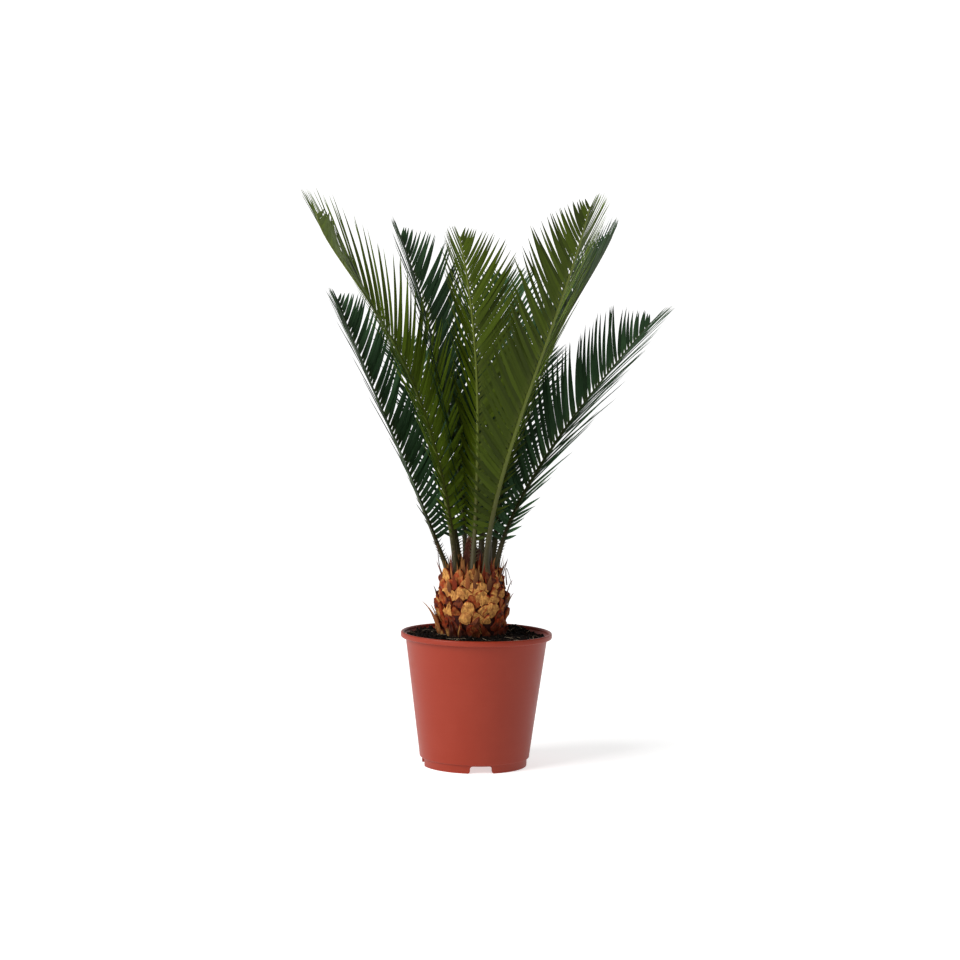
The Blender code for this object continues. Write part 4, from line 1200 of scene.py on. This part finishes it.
class PALM_OT_ribs(bpy.types.Operator):
    """Build each frond's petiole and rib, with the small spines on its petiole"""

    bl_idname = "palm.ribs"
    bl_label = "Ribs"

    def execute(self, context):
        settings = context.scene.palm_fronds
        finishes = {
            OLIVE: self.rib_finish("rib_light", settings.rib_light, settings.petiole),
            PINE: self.rib_finish("rib_dark", settings.rib_dark, settings.petiole),
        }
        for number, frond in enumerate(FRONDS):
            self.rib(settings, frond, number, finishes[frond.slot])
        return {"FINISHED"}

    def rib_finish(self, name, colour, petiole):
        """Waxy rib: tan and woolly at its foot, dark green on the petiole and its own colour above."""
        finish = Finish(name)
        place = finish.place()
        height = finish.part(place, 2)
        streaks = finish.noise(finish.stretched(place, (1.0, 1.0, 0.12)), 700.0, 3.0)
        blotch = finish.noise(place, 160.0, 3.0)
        green = finish.mix(streaks, shade(colour, 0.75), shade(colour, 1.2))
        base = finish.mix(blotch, petiole, (0.048, 0.032, 0.011))
        rise = ((height - 0.245) * 9.0).clipped()
        green = finish.mix(rise, base, green)
        foot = ((0.2245 - height + (blotch - 0.5) * 0.012) * 130.0).clipped()
        green = finish.mix(foot, green, (0.17, 0.085, 0.028))
        return finish.done(
            base_color=green,
            roughness=blotch * 0.2 + 0.42,
            specular_ior_level=0.25,
            normal=finish.bump(streaks, 0.35, 0.0003),
        )

    def rib(self, settings, frond, number, material):
        """A tube along the rib whose section is round below and flattened towards its face."""
        stations, sides = 72, 12
        frames = rib_frames(frond, 96)
        share = np.linspace(0, 1, stations)
        centre, along, side, face = at_shares(frames, share)
        centre = np.vstack([centre[:1] - along[:1] * 0.006, centre])
        along, side, face = (np.vstack([track[:1], track]) for track in (along, side, face))
        share = np.concatenate([[0.0], share])
        radius = RIB_BASE_RADIUS * (1 - (1 - settings.tip_radius / RIB_BASE_RADIUS) * share**0.5)
        swell = 1 + 0.42 * np.exp(-share * frond.length / 0.010)
        radius = radius * (1 + (frond.girth - 1) * (1 - share)) * swell
        angle = np.linspace(0, 2 * pi, sides, endpoint=False)
        a = np.cos(angle) * 1.06
        b = np.where(np.sin(angle) > 0, 0.55, 0.95) * np.sin(angle)
        ring = a[:, None] * side[:, None] + b[:, None] * face[:, None]
        points = centre[:, None] + radius[:, None, None] * ring
        rings = len(points)
        points = np.vstack([points.reshape(-1, 3), centre[:1], centre[-1:] + along[-1:] * 0.0006])
        place = np.arange(sides)
        after = (place + 1) % sides
        last = (rings - 1) * sides
        caps = np.concatenate([
            np.stack([np.full(sides, rings * sides), after, place], -1),
            np.stack([np.full(sides, rings * sides + 1), last + place, last + after], -1),
        ])
        spine_points, spine_faces = self.spines(settings, frond, frames, number)
        faces = [ring_quads(rings, sides), caps] + [group + len(points) for group in spine_faces]
        rib = surface_object(frond.name + "_rib", np.vstack([points, spine_points]), faces)
        dressed(rib, [material], [frond.name], 60)

    def spines(self, settings, frond, frames, number):
        """Short spines on both edges of the petiole, longer towards the first leaflets."""
        random = np.random.default_rng(60 + number)
        count = 7
        share = np.linspace(0.035, BARE_SHARE - 0.004, count)
        share = np.concatenate([share, share + 0.004]) + random.uniform(-0.002, 0.002, 2 * count)
        hand = np.repeat([1.0, -1.0], count)
        root, along, side, face = at_shares(frames, share)
        reach = (0.0025 + 0.060 * (share - 0.035)) * random.uniform(0.7, 1.3, 2 * count)
        way = unit(0.55 * along + hand[:, None] * side + 0.25 * face)
        root = root + hand[:, None] * side * RIB_BASE_RADIUS * 0.75
        part = np.linspace(0, 1, 4)[None, :, None]
        lines = root[:, None] + way[:, None] * (part * (reach + 0.0008)[:, None, None])
        radii = np.broadcast_to(0.0007 * (1 - 0.9 * part[..., 0]), (2 * count, 4))
        return tubes(lines, radii, 5)


class PALM_OT_leaflets(bpy.types.Operator):
    """Grow both rows of leaflets on each frond"""

    bl_idname = "palm.leaflets"
    bl_label = "Leaflets"

    def execute(self, context):
        settings = context.scene.palm_fronds
        tints = (0.70, 0.98, 1.30)
        sides = {
            # olive_upper carries painted light as well as colour: it is brightened to stand in for light that
            # the front leaflets don't catch.
            OLIVE: (("olive_upper", settings.olive, 0.38), ("olive_under", settings.under_green, 0.50)),
            PINE: (("pine_upper", settings.upper_green, 0.34), ("pine_under", settings.pine_under, 0.50)),
        }
        finishes = {}
        for slot, pair in sides.items():
            finishes[slot] = [
                self.leaf_finish(f"{name}_{i}", shade(colour, tint), roughness)
                for i, tint in enumerate(tints)
                for name, colour, roughness in pair
            ]
        for number, frond in enumerate(FRONDS):
            self.leaflets(settings, frond, number, finishes[frond.slot])
        return {"FINISHED"}

    def leaf_finish(self, name, colour, roughness):
        """Waxy leaf: fine lengthwise streaks, a paler foot and a slightly yellow tip."""
        finish = Finish(name)
        blade = finish.node("ShaderNodeUVMap", {"uv_map": "blade"}, {})[0]
        streaks = finish.noise(finish.stretched(blade, (9.0, 1.5, 1.0)), 2.0, 3.0)
        reach = finish.part(blade, 1)
        green = finish.mix(streaks, shade(colour, 0.72), shade(colour, 1.28))
        green = finish.mix((1 - reach * 7.0).clipped() * 0.4, green, (0.085, 0.10, 0.02))
        green = finish.mix((reach * 14.0 - 13.0).clipped() * 0.5, green, (0.07, 0.06, 0.015))
        return finish.done(
            base_color=green,
            roughness=streaks * 0.12 + roughness,
            specular_ior_level=0.09,
            normal=finish.bump(streaks, 0.25, 0.0003),
        )

    def leaflets(self, settings, frond, number, finishes):
        """Leaflets of one frond, cut short where they would meet another frond's rib."""
        random = np.random.default_rng(70 + number)
        frames = rib_frames(frond, 96)
        per_side = round(frond.length * (1 - BARE_SHARE) / settings.spacing)
        base = (np.arange(per_side) + 0.5) / per_side
        share = np.concatenate([base + 0.22 / per_side, base - 0.22 / per_side])
        share = (share + random.normal(0, 0.10 / per_side, 2 * per_side)).clip(0.002, 0.999)
        hand = np.repeat([1.0, -1.0], per_side)
        count, stations = 2 * per_side, 8
        reach = frond.leaflet * np.minimum(1, 0.25 + 2.4 * share)
        taper = 1 - 0.85 * (np.maximum(0, share - 0.70) / 0.30) ** 1.3
        reach = reach * taper * random.normal(1, 0.022, count)
        jitter = [random.normal(0, spread, count) for spread in (1.6, 2.4, 0.30)]
        lines, along, first = leaflet_lines(frond, frames, share, hand, reach, jitter, stations)
        ribs = other_ribs(frond)
        near = np.linalg.norm(lines[:, 2:, None] - ribs, axis=-1).min(-1) < settings.rib_gap
        cut = np.where(near.any(1), (near.argmax(1) + 1.6) / stations, 1.0)
        lines, along, first = leaflet_lines(frond, frames, share, hand, reach * cut, jitter, stations)
        heading = unit(np.gradient(lines, axis=1))
        wide = along[:, None] - heading * (along[:, None] * heading).sum(-1, keepdims=True)
        wide = unit(wide)
        up = np.cross(heading, wide) * hand[:, None, None]
        turn = np.radians(-5 + random.normal(0, 5, count))[:, None, None]
        across = np.cos(turn) * wide + np.sin(turn) * up
        above = np.cross(heading, across) * hand[:, None, None]
        part = np.linspace(0, 1, stations + 1)
        outline = np.minimum(1, 0.50 + 4.0 * part) * (1 - np.maximum(0, (part - 0.35) / 0.65) ** 1.7)
        half = settings.width / 2 * (1 - 0.32 * share**2)[:, None] * outline
        half = half * random.normal(1, 0.04, (count, 1))
        depth = np.broadcast_to(settings.thickness * (1 - 0.45 * part), half.shape)
        section = ((-1, -0.5), (-0.55, 0.45), (0, 0.1), (0.55, 0.45), (1, -0.5), (0, -1.0))
        points, faces = blades(lines, across, above, half, depth, section)
        sides = len(section)
        over = np.array([0, 0.25, 0.5, 0.75, 1, 0.5])
        uv = np.stack(np.meshgrid(part[:-1], over, indexing="ij"), -1)[..., ::-1]
        uv = np.concatenate([uv.reshape(-1, 2), [[0.5, 1.0]]])
        tint = 2 * random.choice(3, count, p=(0.28, 0.44, 0.28))
        under = np.array([0, 0, 0, 0, 1, 1])
        rings = tint[:, None] + np.tile(under, stations - 1)
        index = np.concatenate([rings.ravel(), (tint[:, None] + under).ravel(), tint])
        leaves = surface_object(
            frond.name + "_leaflets", points, faces, corner_uv=np.tile(uv, (count, 1)), material_index=index
        )
        dressed(leaves, finishes, [frond.name], 38)


class PALM_OT_stage(bpy.types.Operator):
    """Set up the pale floor, the soft studio light and the camera"""

    bl_idname = "palm.stage"
    bl_label = "Stage"

    def execute(self, context):
        settings = context.scene.palm_stage
        scene = context.scene
        self.floor(settings)
        world = bpy.data.worlds.new("white_surround")
        world.use_nodes = True
        background = world.node_tree.nodes["Background"]
        background.inputs["Color"].default_value = (1.0, 1.0, 1.0, 1.0)
        background.inputs["Strength"].default_value = settings.sky_strength
        scene.world = world
        self.light("key_light", KEY_PLACE, KEY_SIZE, settings.key_power)
        self.light("fill_light", FILL_PLACE, FILL_SIZE, settings.fill_power)
        camera_data = bpy.data.cameras.new("camera")
        camera_data.sensor_width = 36.0
        camera_data.lens = settings.lens
        camera = bpy.data.objects.new("camera", camera_data)
        turn = Matrix.Rotation(pi / 2 - settings.tilt, 4, "X") @ Matrix.Rotation(settings.roll, 4, "Z")
        spot = Matrix.Translation((0.0009, -settings.camera_distance, settings.camera_height))
        camera.matrix_world = spot @ turn
        scene.collection.objects.link(camera)
        scene.camera = camera
        scene.view_settings.view_transform = "Standard"
        return {"FINISHED"}

    def light(self, name, place, size, power):
        """A square soft light that points at the middle of the plant."""
        data = bpy.data.lights.new(name, "AREA")
        data.shape = "SQUARE"
        data.size = size
        data.energy = power
        lamp = bpy.data.objects.new(name, data)
        lamp.location = place
        aim = LIGHT_AIM - Vector(place)
        lamp.rotation_euler = aim.to_track_quat("-Z", "Y").to_euler()
        bpy.context.scene.collection.objects.link(lamp)

    def floor(self, settings):
        """A wide round floor that sweeps up behind the plant: flat to 4 m, then a quarter circle of 2 m.

        The wall's height is scaled by the square root of the sine of the angle behind, and by 0 in front.
        """
        flat, bend, steps = 4.0, 2.0, 96
        ring = np.array([(0.5, 0.0), (1.5, 0.0), (flat, 0.0)] + arc((flat, bend), bend, -90, 0, 24))
        angle = np.linspace(0, 2 * pi, steps, endpoint=False)
        radius, height = ring[:, :1], ring[:, 1:] * np.sin(angle).clip(0) ** 0.5
        points = np.stack([radius * np.cos(angle), radius * np.sin(angle), height], -1).reshape(-1, 3)
        place = np.arange(steps)
        centre = np.stack([np.full(steps, len(points)), place, (place + 1) % steps], -1)
        points = np.vstack([points, [[0, 0, 0]]])
        floor = surface_object("floor", points, [ring_quads(len(ring), steps), centre])
        floor.data.flip_normals()
        floor.data.shade_smooth()
        finish = Finish("pale_floor")
        tone = finish.noise(finish.place(), 3.0, 2.0)
        colour = finish.mix(tone, shade(settings.floor_colour, 0.985), settings.floor_colour)
        glow = {"emission_color": settings.floor_colour, "emission_strength": settings.floor_glow}
        floor.data.materials.append(finish.done(base_color=colour, roughness=0.9, **glow))


class PALM_PT_panel(bpy.types.Panel):
    """Lists the plant's pieces and their settings"""

    bl_idname = "PALM_PT_panel"
    bl_label = "Sago Palm"
    bl_space_type = "VIEW_3D"
    bl_region_type = "UI"
    bl_category = "Sago Palm"

    def draw(self, context):
        layout = self.layout
        for key, group, operators in GROUPS:
            box = layout.box()
            for operator in operators:
                box.operator(operator.bl_idname)
            settings = getattr(context.scene, key)
            for name in group.__annotations__:
                box.prop(settings, name)


GROUPS = (
    ("palm_pot", PotSettings, (PALM_OT_pot,)),
    ("palm_soil", SoilSettings, (PALM_OT_soil,)),
    ("palm_caudex", CaudexSettings, (PALM_OT_caudex, PALM_OT_bud)),
    ("palm_fronds", FrondSettings, (PALM_OT_ribs, PALM_OT_leaflets)),
    ("palm_stage", StageSettings, (PALM_OT_stage,)),
)


def register():
    """Register the settings, the operators and the panel."""
    for key, group, operators in GROUPS:
        bpy.utils.register_class(group)
        for operator in operators:
            bpy.utils.register_class(operator)
        setattr(bpy.types.Scene, key, PointerProperty(type=group))
    bpy.utils.register_class(PALM_PT_panel)


def unregister():
    """Take back what register added."""
    bpy.utils.unregister_class(PALM_PT_panel)
    for key, group, operators in reversed(GROUPS):
        delattr(bpy.types.Scene, key)
        for operator in reversed(operators):
            bpy.utils.unregister_class(operator)
        bpy.utils.unregister_class(group)


def main():
    """Build everything in order."""
    register()
    bpy.ops.palm.stage()
    bpy.ops.palm.pot()
    bpy.ops.palm.soil()
    bpy.ops.palm.caudex()
    bpy.ops.palm.bud()
    bpy.ops.palm.ribs()
    bpy.ops.palm.leaflets()


if __name__ == "__main__":
    main()
